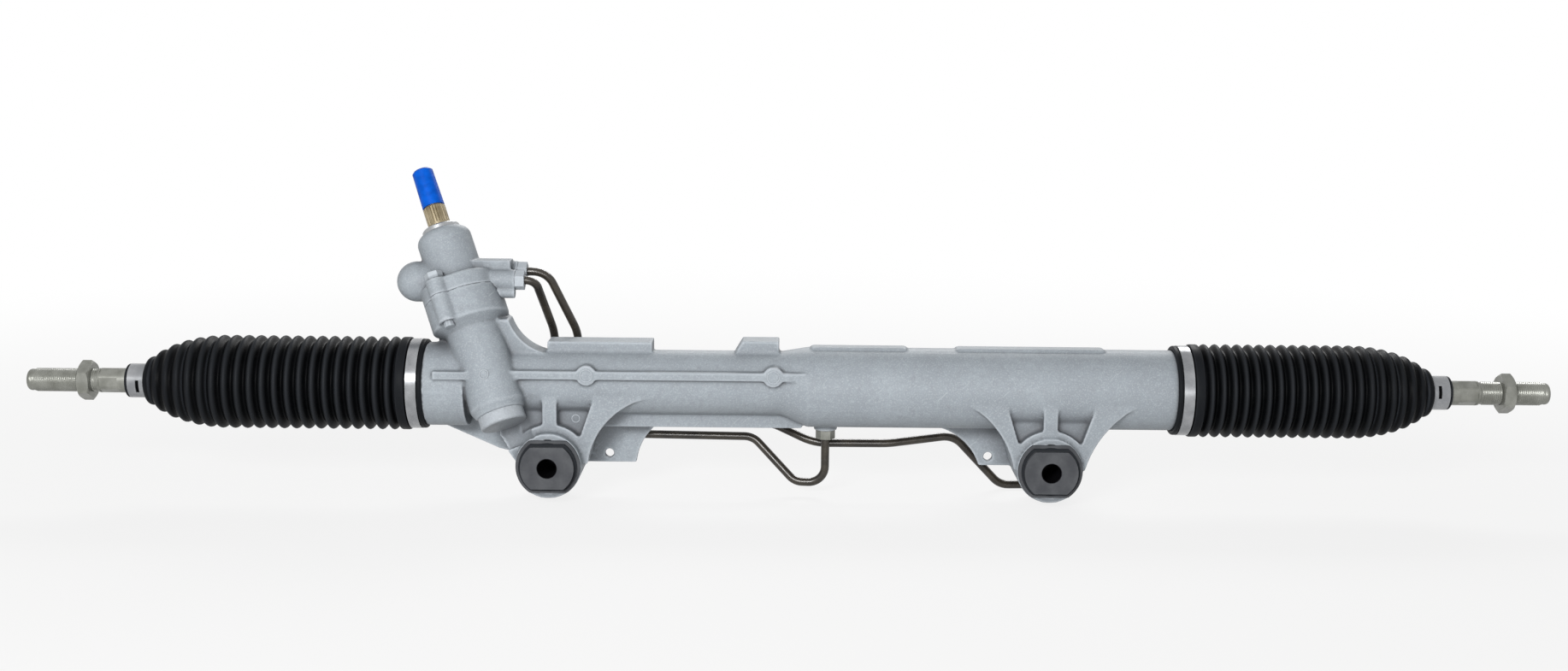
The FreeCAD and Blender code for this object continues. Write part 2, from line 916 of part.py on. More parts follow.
def cylinder_port(side):
    """Where a pipe is screwed into the cylinder: the boss's face, looking out of it."""
    if side < 0:
        origin = Vector(d.left_port_place.value, d.left_port_depth.value, d.cylinder_port_height.value)
        return facing(origin, Vector(0, 0, -1), Vector(1, 0, 0))
    lean = math.radians(d.right_port_lean.value)
    out = Vector(0, math.sin(lean), -math.cos(lean))
    return facing(rack_point(d.right_port_place) + out * d.right_port_reach.value, out, Vector(1, 0, 0))


def sunk(placement, depth):
    """The same placement, further back along its own Z."""
    return placement * FreeCAD.Placement(Vector(0, 0, -lift(depth).value), FreeCAD.Rotation())


def make_port_bosses():
    """The two bosses on the cylinder where the pipes are screwed in."""
    left = d.rack_height - d.cylinder_port_height - 6
    right = d.right_port_reach - 6
    return [
        rod("left_port_boss", d.port_boss_radius, left, sunk(cylinder_port(-1), left)),
        rod("right_port_boss", d.port_boss_radius, right, sunk(cylinder_port(1), right)),
    ]


def make_rack_housing():
    """The cast aluminium housing, fused from its forms and then bored."""
    body = join(
        "rack_housing_casting",
        *make_housing_tubes(),
        *make_housing_tower(),
        *make_housing_webs(),
        *make_housing_plates(),
        *make_port_bosses(),
    )
    gap = d.seat_gap
    half = d.housing_half_length
    rack_way = lathe(
        "rack_way",
        [
            (0, -half - 1),
            (d.rack_bore, -half - 1),
            (d.rack_bore, d.cylinder_bore_start - d.inner_bush_length),
            (d.bush_bore + gap, d.cylinder_bore_start - d.inner_bush_length),
            (d.bush_bore + gap, d.cylinder_bore_start),
            (d.cylinder_bore, d.cylinder_bore_start),
            (d.cylinder_bore, d.cylinder_bore_end),
            (d.end_ring_radius + gap, d.cylinder_bore_end),
            (d.end_ring_radius + gap, half + 1),
            (0, half + 1),
        ],
        along_rack(),
    )
    bush_radius = d.pinion_journal_radius + d.running_gap + d.journal_bush_wall
    pinion_way = lathe(
        "pinion_way",
        [
            (0, d.tower_bottom - 1),
            (d.end_plug_thread + gap, d.tower_bottom - 1),
            (d.end_plug_thread + gap, d.end_plug_top),
            (d.foot_bearing_radius + gap, d.end_plug_top),
            (d.foot_bearing_radius + gap, d.end_plug_top + d.foot_bearing_width + 0.3),
            (d.gear_cavity_radius, d.end_plug_top + d.foot_bearing_width + 0.3),
            (d.gear_cavity_radius, d.journal_bush_bottom),
            (bush_radius + gap, d.journal_bush_bottom),
            (bush_radius + gap, d.journal_seal_bottom),
            (d.journal_seal_radius + gap, d.journal_seal_bottom),
            (d.journal_seal_radius + gap, d.journal_seal_bottom + d.journal_seal_length),
            (d.upper_cavity_radius, d.journal_seal_bottom + d.journal_seal_length),
            (d.upper_cavity_radius, d.joint_height - d.spigot_length),
            (d.spigot_radius + gap, d.joint_height - d.spigot_length),
            (d.spigot_radius + gap, d.joint_height + 1),
            (0, d.joint_height + 1),
        ],
        up_tower(),
    )
    tools = [rack_way, pinion_way]
    tools.append(
        rod("guide_way", d.guide_radius + gap, d.guide_boss_length + 1, behind_rack())
    )
    for number, place in enumerate(bolt_places(d.joint_height - d.bolt_length)):
        tools.append(rod(f"bolt_way_{number}", d.bolt_radius + gap, d.bolt_length + 1, place))
    for side in (-1, 1):
        name = "left" if side < 0 else "right"
        length = d.eye_front + d.eye_back + 2
        eye = to_front(d.bolt_spacing / 2 * side, d.eye_back + 1)
        tools.append(rod(f"{name}_eye_way", d.eye_bore + gap, length, eye))
        hole = to_front(d.plate_hole_place * side, d.plate_front + d.plate_thickness + 1)
        tools.append(rod(f"{name}_plate_hole", d.plate_hole_radius, d.plate_thickness + 2, hole))
    for side, reach in ((-1, d.rack_height - d.cylinder_port_height), (1, d.right_port_reach)):
        name = "left" if side < 0 else "right"
        place = sunk(cylinder_port(side), reach)
        tools.append(rod(f"{name}_port_way", d.cylinder_port_radius, reach + 1, place))
        behind = to_front(d.bolt_spacing / 2 * side, d.eye_back + 10)
        tools.append(rod(f"{name}_eye_back_room", d.eye_radius, 10, behind))
    room = up_tower(d.tower_bottom - d.plug_room_length)
    tools.append(rod("plug_room", d.plug_room_radius, d.plug_room_length, room))
    return cut("rack_housing", body, *tools)


def make_valve_housing():
    """The valve's own casting, bolted on the tower, with its ports."""
    gap = d.seat_gap
    flange_top = d.joint_height + d.valve_flange_height
    parts = [
        lathe(
            "valve_body",
            [
                (0, d.joint_height - d.spigot_length),
                (d.spigot_radius, d.joint_height - d.spigot_length),
                (d.spigot_radius, d.joint_height),
                (d.flange_radius, d.joint_height),
                (d.flange_radius, flange_top - 1.5),
                (d.flange_radius - 1.5, flange_top),
                (d.valve_radius, flange_top),
                (d.valve_radius, d.valve_top - d.valve_shoulder, d.valve_shoulder),
                (d.valve_radius - d.valve_shoulder + 1.5, d.valve_top),
                (0, d.valve_top),
            ],
            up_tower(),
        )
    ]
    for number, place in enumerate(bolt_places(d.joint_height)):
        parts.append(rod(f"valve_lobe_{number}", d.bolt_lobe_radius, d.valve_flange_height, place))
    level = MESH_POINT + PINION_AXIS * d.supply_boss_level.value
    parts.append(
        lathe(
            "supply_boss",
            [
                (0, 0),
                (d.supply_boss_radius, 0),
                (d.supply_boss_radius, d.supply_boss_reach, d.supply_boss_radius),
                (0, d.supply_boss_reach + d.supply_boss_radius),
            ],
            facing(level, Vector(-1, 0, 0)),
        )
    )
    root = level.x
    for name, depth, height in (
        ("front", d.front_port_depth, d.front_port_height),
        ("rear", d.rear_port_depth, d.rear_port_height),
    ):
        origin = Vector(root, depth.value, height.value)
        reach = d.valve_port_face - root
        parts.append(rod(f"{name}_valve_port", d.valve_port_radius, reach, facing(origin, Vector(1, 0, 0))))
    parts.append(
        block(
            "port_bridge",
            (root, d.front_port_depth, d.front_port_height - 6),
            (d.valve_port_face - 4, d.rear_port_depth, d.rear_port_height + d.port_shelf_rise),
        )
    )
    foot = Vector(root, d.front_port_depth.value - 3, d.front_port_height.value - 9)
    parts.append(rod("port_foot", 4.5, d.valve_port_face - root, facing(foot, Vector(1, 0, 0))))
    casting = join("valve_housing_casting", *parts)
    tools = [
        lathe(
            "valve_way",
            [
                (0, d.joint_height - d.spigot_length - 1),
                (d.valve_bore, d.joint_height - d.spigot_length - 1),
                (d.valve_bore, d.rotor_top),
                (d.input_bearing_radius + gap, d.rotor_top),
                (d.input_bearing_radius + gap, d.input_seal_bottom - 0.8),
                (d.input_seal_radius + gap, d.input_seal_bottom - 0.8),
                (d.input_seal_radius + gap, d.valve_top + 1),
                (0, d.valve_top + 1),
            ],
            up_tower(),
        ),
        ring(
            "joint_room",
            d.spigot_radius,
            d.flange_radius + gap,
            d.flange_bottom,
            d.joint_height,
            up_tower(),
        ),
    ]
    for number, place in enumerate(bolt_places(d.joint_height - 1)):
        tools.append(rod(f"valve_bolt_way_{number}", d.bolt_radius + 0.25, d.valve_flange_height + 2, place))
    for name, depth, height in (
        ("front", d.front_port_depth, d.front_port_height),
        ("rear", d.rear_port_depth, d.rear_port_height),
    ):
        origin = Vector(d.valve_port_face.value - 12, depth.value, height.value)
        tools.append(rod(f"{name}_valve_port_way", d.pipe_radius + 0.8, 13, facing(origin, Vector(1, 0, 0))))
    return cut("valve_housing", casting, *tools)


def make_valve_bolts():
    bolts = []
    head_bottom = d.joint_height + d.valve_flange_height
    shank = d.bolt_length - 4 + d.valve_flange_height
    for number, place in enumerate(bolt_places(d.joint_height - d.bolt_length + 4)):
        stem = rod(f"bolt_stem_{number}", d.bolt_radius, shank + 1, place)
        head = hexagon(
            f"bolt_head_{number}", d.bolt_head_across, d.bolt_head_height, bolt_places(head_bottom)[number]
        )
        bolts.append(fuse(f"bolt_{number}", stem, head))
    return group("valve_housing_bolts", *bolts)


def make_rack_bar():
    """The toothed rack: a ground bar with a flat and teeth straight across at the pinion."""
    half = d.rack_half_length
    bore = d.stud_radius + d.seat_gap
    depth = d.rack_end_bore_depth
    radius = d.rack_radius
    chamfer = d.rack_chamfer
    origin = rack_point(d.rack_offset)
    body = lathe(
        "rack_bar",
        [
            (0, depth - half),
            (bore, depth - half),
            (bore, -half),
            (radius - chamfer, -half),
            (radius, chamfer - half),
            (radius, half - chamfer),
            (radius - chamfer, half),
            (bore, half),
            (bore, half - depth),
            (0, half - depth),
        ],
        facing(origin, Vector(1, 0, 0), TOWARDS_PINION),
    )
    pitch = d.tooth_module * math.pi
    tip = d.rack_tip_height
    reference = tip - d.tooth_module
    bottom = reference - d.tooth_module * d.root_depth_share
    slope = tan_of(d.pressure_angle)
    count = d.teeth_left + d.teeth_right + 1
    first = d.pinion_place - d.rack_offset - d.teeth_left * pitch
    last = first + (count - 1) * pitch
    flat = outline_sketch(
        body,
        "XZ_Plane",
        "rack_flat_outline",
        [
            (tip, first - pitch * 0.75),
            (radius + 1, first - pitch * 0.75),
            (radius + 1, last + pitch * 0.75),
            (tip, last + pitch * 0.75),
        ],
    )
    top = pitch / 4 + d.tooth_module * slope
    foot = pitch / 4 - d.tooth_module * d.root_depth_share * slope
    gap = outline_sketch(
        body,
        "XZ_Plane",
        "tooth_gap_outline",
        [
            (bottom, first - foot),
            (tip + 0.5, first - top - slope * 0.5),
            (tip + 0.5, first + top + slope * 0.5),
            (bottom, first + foot),
        ],
    )
    for name, sketch in (("rack_flat", flat), ("tooth_gap", gap)):
        pocket = body.newObject("PartDesign::Pocket", name)
        pocket.Profile = sketch
        pocket.Midplane = True
        bind(pocket, "Length", radius * 2 + 2)
    pattern = body.newObject("PartDesign::LinearPattern", "tooth_gaps")
    pattern.Originals = [pocket]
    pattern.Direction = (gap, ["V_Axis"])
    bind(pattern, "Length", last - first)
    pattern.Occurrences = int(round(count.value))
    body.Tip = pattern
    return body


def involute(base_radius, radius, start_angle, sense):
    """A point of the involute of the base circle, at a radius."""
    pressure = math.acos(base_radius / radius)
    angle = start_angle + sense * (math.tan(pressure) - pressure)
    return Vector(radius * math.cos(angle), radius * math.sin(angle), 0)


def pinion_section():
    """One closed wire round all the pinion's teeth, across its axis."""
    teeth = int(round(d.pinion_teeth.value))
    module = d.tooth_module.value
    pressure = math.atan(math.tan(math.radians(d.pressure_angle.value)) / math.cos(TILT))
    base = PITCH_RADIUS * math.cos(pressure)
    tip = PITCH_RADIUS + (d.pinion_addendum.value + d.pinion_shift.value) * module
    root = PITCH_RADIUS - d.pinion_root_depth.value * module
    normal_thickness = (
        math.pi * module / 2
        + 2 * d.pinion_shift.value * module * math.tan(math.radians(d.pressure_angle.value))
        - d.backlash.value
    )
    half_tooth = normal_thickness / math.cos(TILT) / (2 * PITCH_RADIUS)
    half_base = half_tooth + math.tan(pressure) - pressure
    steps = 8
    radii = [base + (tip - base) * (number / steps) ** 1.5 for number in range(steps + 1)]
    edges = []
    for tooth in range(teeth):
        centre = math.pi / 2 + 2 * math.pi * tooth / teeth
        rising = [involute(base, radius, centre - half_base, 1) for radius in radii]
        falling = [involute(base, radius, centre + half_base, -1) for radius in reversed(radii)]
        foot_before = Vector(root * math.cos(centre - half_base), root * math.sin(centre - half_base), 0)
        foot_after = Vector(root * math.cos(centre + half_base), root * math.sin(centre + half_base), 0)
        crown = Vector(tip * math.cos(centre), tip * math.sin(centre), 0)
        valley_angle = centre + math.pi / teeth
        valley = Vector(root * math.cos(valley_angle), root * math.sin(valley_angle), 0)
        next_angle = centre + 2 * math.pi / teeth - half_base
        next_foot = Vector(root * math.cos(next_angle), root * math.sin(next_angle), 0)
        edges.append(Part.LineSegment(foot_before, rising[0]).toShape())
        for flank in (rising, falling):
            curve = Part.BSplineCurve()
            curve.interpolate(flank)
            if flank is falling:
                edges.append(Part.Arc(rising[-1], crown, falling[0]).toShape())
            edges.append(curve.toShape())
        edges.append(Part.LineSegment(falling[-1], foot_after).toShape())
        edges.append(Part.Arc(foot_after, valley, next_foot).toShape())
    return Part.Wire(edges)


def make_pinion():
    """The helical pinion with its journals and the head that carries the valve sleeve."""
    section = doc.addObject("Part::Feature", "pinion_tooth_section")
    section.Shape = pinion_section()
    helix = doc.addObject("Part::Helix", "pinion_tooth_helix")
    helix.Pitch = math.pi * d.pinion_teeth.value * d.tooth_module.value / math.sin(TILT)
    bind(helix, "Height", d.gear_top - d.gear_bottom)
    bind(helix, "Radius", d.pinion_core)
    helix.LocalCoord = 1
    teeth = doc.addObject("Part::Sweep", "pinion_teeth")
    teeth.Sections = [section]
    teeth.Spine = (helix, ["Edge1"])
    teeth.Solid = True
    teeth.Frenet = True
    turned = -math.degrees(d.gear_bottom.value * math.tan(TILT) / PITCH_RADIUS)
    teeth.Placement = up_tower(d.gear_bottom, turned)
    step = d.end_plug_top + d.foot_bearing_width
    shaft = lathe(
        "pinion_shaft",
        [
            (0, d.pinion_end),
            (d.pinion_thread_radius - 0.8, d.pinion_end),
            (d.pinion_thread_radius, d.pinion_end + 0.8),
            (d.pinion_thread_radius, d.end_plug_top),
            (d.pinion_foot_radius, d.end_plug_top),
            (d.pinion_foot_radius, step),
            (d.pinion_core, step),
            (d.pinion_core, d.gear_top),
            (d.pinion_journal_radius, d.gear_top),
            (d.pinion_journal_radius, d.pinion_journal_top),
            (d.pinion_waist_radius, d.pinion_journal_top + 2),
            (d.pinion_waist_radius, d.pinion_head_bottom),
            (d.rotor_radius - d.seat_gap, d.pinion_head_bottom + 2),
            (d.rotor_radius - d.seat_gap, d.pinion_head_top),
            (d.torsion_bar_end + d.seat_gap, d.pinion_head_top),
            (d.torsion_bar_end + d.seat_gap, d.pinion_head_top - d.torsion_bar_bore_depth),
            (0, d.pinion_head_top - d.torsion_bar_bore_depth),
        ],
        up_tower(),
    )
    return fuse("pinion", shaft, teeth)


def make_pinion_supports():
    """Bearings, bush, seal, nut and end plug of the pinion."""
    gap = d.running_gap
    bottom = d.end_plug_top
    top = bottom + d.foot_bearing_width
    outer_track = d.foot_bearing_inner + d.foot_bearing_track_gap
    parts = [
        ring("lower_bearing_outer_ring", outer_track, d.foot_bearing_radius, bottom, top, up_tower()),
        ring(
            "lower_bearing_inner_ring",
            d.pinion_foot_radius + d.seat_gap,
            d.foot_bearing_inner,
            bottom,
            top,
            up_tower(),
        ),
    ]
    journal = d.pinion_journal_radius + gap
    low = d.journal_bush_bottom + 0.2
    parts.append(
        ring(
            "pinion_journal_bush",
            journal,
            journal + d.journal_bush_wall,
            low,
            d.journal_bush_bottom + d.journal_bush_length,
            up_tower(),
        )
    )
    low = d.journal_seal_bottom + 0.2
    high = d.journal_seal_bottom + d.journal_seal_length
    parts.append(
        lathe(
            "pinion_oil_seal",
            [
                (journal, low + 2),
                (journal + 1.5, low),
                (d.journal_seal_radius, low),
                (d.journal_seal_radius, high),
                (journal + 2, high),
                (journal, low + 3),
            ],
            up_tower(),
        )
    )
    nut = hexagon("pinion_nut_blank", d.pinion_nut_across, d.pinion_nut_height, up_tower(bottom - d.pinion_nut_height - 0.2))
    hole = rod(
        "pinion_nut_hole",
        d.pinion_thread_radius + d.seat_gap,
        d.pinion_nut_height + 2,
        up_tower(bottom - d.pinion_nut_height - 1),
    )
    parts.append(cut("pinion_lock_nut", nut, hole))
    parts.append(
        lathe(
            "pinion_end_plug",
            [
                (0, d.end_plug_bottom),
                (d.end_plug_radius - 1, d.end_plug_bottom),
                (d.end_plug_radius, d.end_plug_bottom + 1),
                (d.end_plug_radius, d.end_plug_seat - 0.1),
                (d.end_plug_thread, d.end_plug_seat - 0.1),
                (d.end_plug_thread, d.end_plug_top - 0.2),
                (d.end_plug_cavity, d.end_plug_top - 0.2),
                (d.end_plug_cavity, d.end_plug_bottom + d.end_plug_floor),
                (0, d.end_plug_bottom + d.end_plug_floor),
            ],
            up_tower(),
        )
    )
    return parts


def make_valve():
    """Sleeve, its rings, the input shaft, the torsion bar and its pin."""
    gap = d.seat_gap
    groove = d.sleeve_radius - d.sleeve_ring_groove
    half_ring = d.sleeve_ring_width / 2
    half_port = d.sleeve_port_width / 2
    corners = [(d.rotor_radius, d.sleeve_bottom), (d.sleeve_radius, d.sleeve_bottom)]
    levels = [
        d.sleeve_first_ring + d.sleeve_ring_pitch * number
        for number in range(int(d.sleeve_ring_count.value))
    ]
    rings = []
    for number, level in enumerate(levels):
        corners += [
            (d.sleeve_radius, level - half_ring),
            (groove, level - half_ring),
            (groove, level + half_ring),
            (d.sleeve_radius, level + half_ring),
        ]
        rings.append(
            ring(
                f"seal_ring_{number}",
                groove + gap,
                d.valve_bore - gap,
                level - half_ring + gap,
                level + half_ring - gap,
                up_tower(),
            )
        )
        if number + 1 < len(levels):
            port = level + d.sleeve_ring_pitch / 2
            corners += [
                (d.sleeve_radius, port - half_port),
                (groove, port - half_port),
                (groove, port + half_port),
                (d.sleeve_radius, port + half_port),
            ]
    corners += [(d.sleeve_radius, d.rotor_top - 0.5), (d.rotor_radius, d.rotor_top - 0.5)]
    parts = [lathe("valve_sleeve", corners, up_tower()), group("valve_seal_rings", *rings)]

    bore = d.torsion_bar_end + gap
    shaft = lathe(
        "input_shaft_blank",
        [
            (bore, d.rotor_bottom),
            (d.rotor_radius - gap, d.rotor_bottom),
            (d.rotor_radius - gap, d.rotor_top),
            (d.input_shaft_radius, d.rotor_top),
            (d.input_shaft_radius, d.input_step_height - 1),
            (d.input_spline_radius, d.input_step_height),
            (d.input_spline_radius, d.input_groove_height - d.input_groove_width / 2),
            (d.input_spline_radius - d.input_groove_depth, d.input_groove_height - d.input_groove_width / 2 + 1),
            (d.input_spline_radius - d.input_groove_depth, d.input_groove_height + d.input_groove_width / 2 - 1),
            (d.input_spline_radius, d.input_groove_height + d.input_groove_width / 2),
            (d.input_spline_radius, d.input_top - 1),
            (d.input_spline_radius - 1, d.input_top),
            (bore, d.input_top),
        ],
        up_tower(),
    )
    notch = outline_sketch(
        shaft,
        "XY_Plane",
        "serration_outline",
        [
            (d.input_shaft_radius + 0.3, -0.75),
            (d.input_shaft_radius + 0.3, 0.75),
            (d.input_shaft_radius - d.serration_depth, 0),
        ],
    )
    notch.AttachmentOffset = FreeCAD.Placement(Vector(0, 0, d.serration_bottom.value), FreeCAD.Rotation())
    notch.setExpression("AttachmentOffset.Base.z", d.serration_bottom.text)
    groove_cut = body_pocket(shaft, "serration", notch, d.input_step_height - d.serration_bottom + 1)
    pattern = shaft.newObject("PartDesign::PolarPattern", "serrations")
    pattern.Originals = [groove_cut]
    pattern.Axis = (notch, ["N_Axis"])
    pattern.Angle = 360
    pattern.Occurrences = int(d.serration_count.value)
    shaft.Tip = pattern
    across = facing(MESH_POINT + PINION_AXIS * d.pin_height.value, up_tower().Rotation.multVec(Vector(1, 0, 0)))
    shift = FreeCAD.Placement(Vector(0, 0, -d.input_spline_radius.value - 1), FreeCAD.Rotation())
    for name, blank in (("input_shaft", shaft), ("torsion_bar", make_torsion_bar())):
        hole = rod(f"{name}_pin_hole", d.pin_radius + gap, d.input_spline_radius * 2 + 2, across * shift)
        parts.append(cut(name, blank, hole))
    inner = FreeCAD.Placement(Vector(0, 0, -d.input_spline_radius.value + 0.2), FreeCAD.Rotation())
    parts.append(rod("torsion_bar_pin", d.pin_radius, d.input_spline_radius * 2 - 0.4, across * inner))
    return parts


def make_torsion_bar():
    end = d.torsion_bar_end
    waist = d.torsion_bar_waist
    low = d.torsion_bar_bottom
    top = d.torsion_bar_top
    return lathe(
        "torsion_bar_blank",
        [
            (0, low),
            (end, low),
            (end, low + d.torsion_bar_grip),
            (waist, low + d.torsion_bar_grip + d.torsion_bar_flare),
            (waist, top - d.torsion_bar_grip - d.torsion_bar_flare),
            (end, top - d.torsion_bar_grip),
            (end, top),
            (0, top),
        ],
        up_tower(),
    )


def body_pocket(body, name, sketch, length):
    """Cuts a body upwards from a sketch that lies across its axis."""
    pocket = body.newObject("PartDesign::Pocket", name)
    pocket.Profile = sketch
    pocket.Reversed = True
    bind(pocket, "Length", length)
    return pocket


def make_valve_supports():
    """Bearing, seal and dust ring of the input shaft, and the cap on its splines."""
    shaft = d.input_shaft_radius + d.running_gap
    parts = [
        ring(
            "input_shaft_bearing",
            shaft,
            d.input_bearing_radius,
            d.input_bearing_bottom,
            d.input_bearing_bottom + d.input_bearing_width,
            up_tower(),
        )
    ]
    low = d.input_seal_bottom
    high = low + d.input_seal_width
    parts.append(
        lathe(
            "input_shaft_seal",
            [
                (shaft, low + 2),
                (shaft + 1.5, low),
                (d.input_seal_radius, low),
                (d.input_seal_radius, high),
                (shaft + 2, high),
                (shaft, low + 3),
            ],
            up_tower(),
        )
    )
    parts.append(
        lathe(
            "dust_ring",
            [
                (shaft, d.valve_top - d.dust_ring_foot),
                (d.input_seal_radius, d.valve_top - d.dust_ring_foot),
                (d.input_seal_radius, d.valve_top + 0.1),
                (d.dust_ring_radius, d.valve_top + 0.1),
                (d.dust_ring_radius, d.valve_top + d.dust_ring_height - 1),
                (d.dust_ring_radius - 1, d.valve_top + d.dust_ring_height),
                (shaft, d.valve_top + d.dust_ring_height),
            ],
            up_tower(),
        )
    )
    inner = d.input_spline_radius + d.running_gap
    outer = inner + d.cap_wall
    roof = d.input_top + 1 + d.cap_top_wall
    foot = d.input_step_height + 0.3
    parts.append(
        lathe(
            "spline_cap",
            [
                (inner, foot),
                (outer + d.cap_flare, foot),
                (outer, roof - d.cap_round),
                (outer - d.cap_round, roof),
                (0, roof),
                (0, d.input_top + 1),
                (inner, d.input_top + 1),
            ],
            up_tower(),
        )
    )
    return parts


def make_rack_guide():
    """The spring-loaded guide that holds the rack against the pinion."""
    gap = d.seat_gap
    back = d.guide_back
    blank = rod("guide_blank", d.guide_radius, back - d.guide_front, behind_rack(d.guide_front))
    cradle_place = facing(rack_point(d.pinion_place - d.guide_radius - 2), Vector(1, 0, 0))
    cradle = rod("guide_cradle", d.rack_radius + d.running_gap, d.guide_radius * 2 + 4, cradle_place)
    parts = [cut("rack_guide", blank, cradle)]
    start = back + gap
    rise = d.guide_spring_height
    thick = d.guide_spring_thickness
    parts.append(
        lathe(
            "guide_disc_spring",
            [
                (d.guide_spring_bore, start),
                (d.guide_spring_bore, start + thick),
                (d.guide_radius - 1, start + rise),
                (d.guide_radius - 1, start + rise - thick),
            ],
            behind_rack(),
        )
    )
    foot = start + rise + gap
    end = foot + d.adjuster_length
    blank = rod("adjuster_blank", d.guide_radius, d.adjuster_length, behind_rack(foot))
    socket = hexagon(
        "adjuster_socket", d.adjuster_socket_across, d.adjuster_socket_depth + 1, behind_rack(end - d.adjuster_socket_depth)
    )
    parts.append(cut("guide_adjuster_plug", blank, socket))
    seat = d.guide_boss_length + gap
    nut = hexagon("guide_nut_blank", d.guide_nut_across, d.guide_nut_height, behind_rack(seat))
    hole = rod("guide_nut_hole", d.guide_radius + gap, d.guide_nut_height + 2, behind_rack(seat - 1))
    parts.append(cut("guide_lock_nut", nut, hole))
    return parts


def make_cylinder_parts():
    """Bushes, seals and the end ring in the cylinder, and the piston on the rack."""
    gap = d.running_gap
    bar = d.rack_radius + gap
    start = d.cylinder_bore_start
    bore = d.cylinder_bore - d.seat_gap
    parts = [
        ring("inner_rack_bush", bar, d.bush_bore, start - d.inner_bush_length + 0.1, start, along_rack()),
        lathe(
            "inner_rack_seal",
            [
                (bar, start + 3),
                (bar + 1.5, start + gap),
                (bore, start + gap),
                (bore, start + d.inner_seal_length),
                (bar + 2, start + d.inner_seal_length),
                (bar, start + 4),
            ],
            along_rack(),
        ),
    ]
    start = d.outer_seal_start
    end = start + d.outer_seal_length
    parts.append(
        lathe(
            "outer_rack_seal",
            [
                (bar, end - 4),
                (bar + 2, start),
                (bore, start),
                (bore, end),
                (bar + 1.5, end),
                (bar, end - 3),
            ],
            along_rack(),
        )
    )
    parts.append(
        ring("rack_end_bush", bar, bore, end + gap, end + d.end_bush_length, along_rack())
    )
    ring_start = d.cylinder_bore_end + 0.1
    parts.append(
        ring(
            "rack_end_ring",
            d.end_ring_bore,
            d.end_ring_radius,
            ring_start,
            ring_start + d.end_ring_length,
            along_rack(),
        )
    )
    half = d.piston_width / 2
    half_ring = d.piston_ring_width / 2
    bottom = d.piston_radius - d.piston_ring_depth
    place = along_rack(d.piston_place + d.rack_offset)
    inner = d.rack_radius + d.seat_gap
    parts.append(
        lathe(
            "piston",
            [
                (inner, -half),
                (d.piston_radius - 1, -half),
                (d.piston_radius, 1 - half),
                (d.piston_radius, -half_ring),
                (bottom, -half_ring),
                (bottom, half_ring),
                (d.piston_radius, half_ring),
                (d.piston_radius, half - 1),
                (d.piston_radius - 1, half),
                (inner, half),
            ],
            place,
        )
    )
    parts.append(
        ring(
            "piston_ring",
            bottom + d.seat_gap,
            d.cylinder_bore - gap,
            d.seat_gap - half_ring,
            half_ring - d.seat_gap,
            place,
        )
    )
    return parts


def flatted(label, radius, flats, bottom, top, place):
    """A round disc with two level flats, seen from the front."""
    disc = rod(f"{label}_disc", radius, top - bottom, place(bottom))
    band = block(f"{label}_band", (-radius, -flats / 2, 0), (radius, flats / 2, top - bottom), place(bottom))
    return common(label, disc, band)


def make_bushing(side):
    """Outer sleeve, rubber and inner tube of one mounting bushing, front lips with flats."""
    name = "left" if side < 0 else "right"
    gap = d.seat_gap
    centre = d.bolt_spacing / 2 * side
    depth = d.eye_front + d.eye_back

    def place(height):
        """A height is counted from the eye's back face towards the viewer."""
        return to_front(centre, d.eye_back - height)

    sleeve = d.eye_bore
    rubber = sleeve - d.bushing_sleeve_wall
    tube = d.bushing_tube_radius
    lip = depth + gap
    lip_top = lip + d.bushing_lip_thickness
    outer = fuse(
        f"{name}_bushing_sleeve_blank",
        rod(f"{name}_sleeve_tube", sleeve, depth + d.bushing_lip_thickness / 2, place(0)),
        flatted(f"{name}_sleeve_lip", d.bushing_lip_radius, d.bushing_lip_flats, lip, lip_top, place),
    )
    sleeve_hole = rod(f"{name}_sleeve_hole", rubber + gap, depth + 10, place(-1))
    parts = [cut(f"{name}_bushing_sleeve", outer, sleeve_hole)]
    rubber_lip = lip_top + gap
    rubber_top = rubber_lip + d.bushing_rubber_lip
    core = fuse(
        f"{name}_bushing_rubber_blank",
        rod(f"{name}_rubber_tube", rubber, rubber_lip + d.bushing_rubber_lip / 2, place(0)),
        flatted(
            f"{name}_rubber_lip",
            d.bushing_rubber_radius,
            d.bushing_rubber_flats,
            rubber_lip,
            rubber_top,
            place,
        ),
    )
    rubber_hole = rod(f"{name}_rubber_hole", tube + gap, depth + 12, place(-1))
    parts.append(cut(f"{name}_bushing_rubber", core, rubber_hole))
    face = rubber_top + gap
    face_top = face + d.bushing_face_thickness
    inner = fuse(
        f"{name}_bushing_tube_blank",
        rod(f"{name}_tube", tube, face + 1 + d.bushing_tail, place(-d.bushing_tail)),
        flatted(
            f"{name}_tube_face",
            d.bushing_face_radius,
            d.bushing_face_flats,
            face,
            face_top,
            place,
        ),
    )
    bolt_hole = rod(f"{name}_bolt_hole", d.bolt_hole_radius, depth + 22, place(-d.bushing_tail - 1))
    parts.append(cut(f"{name}_bushing_tube", inner, bolt_hole))
    return parts


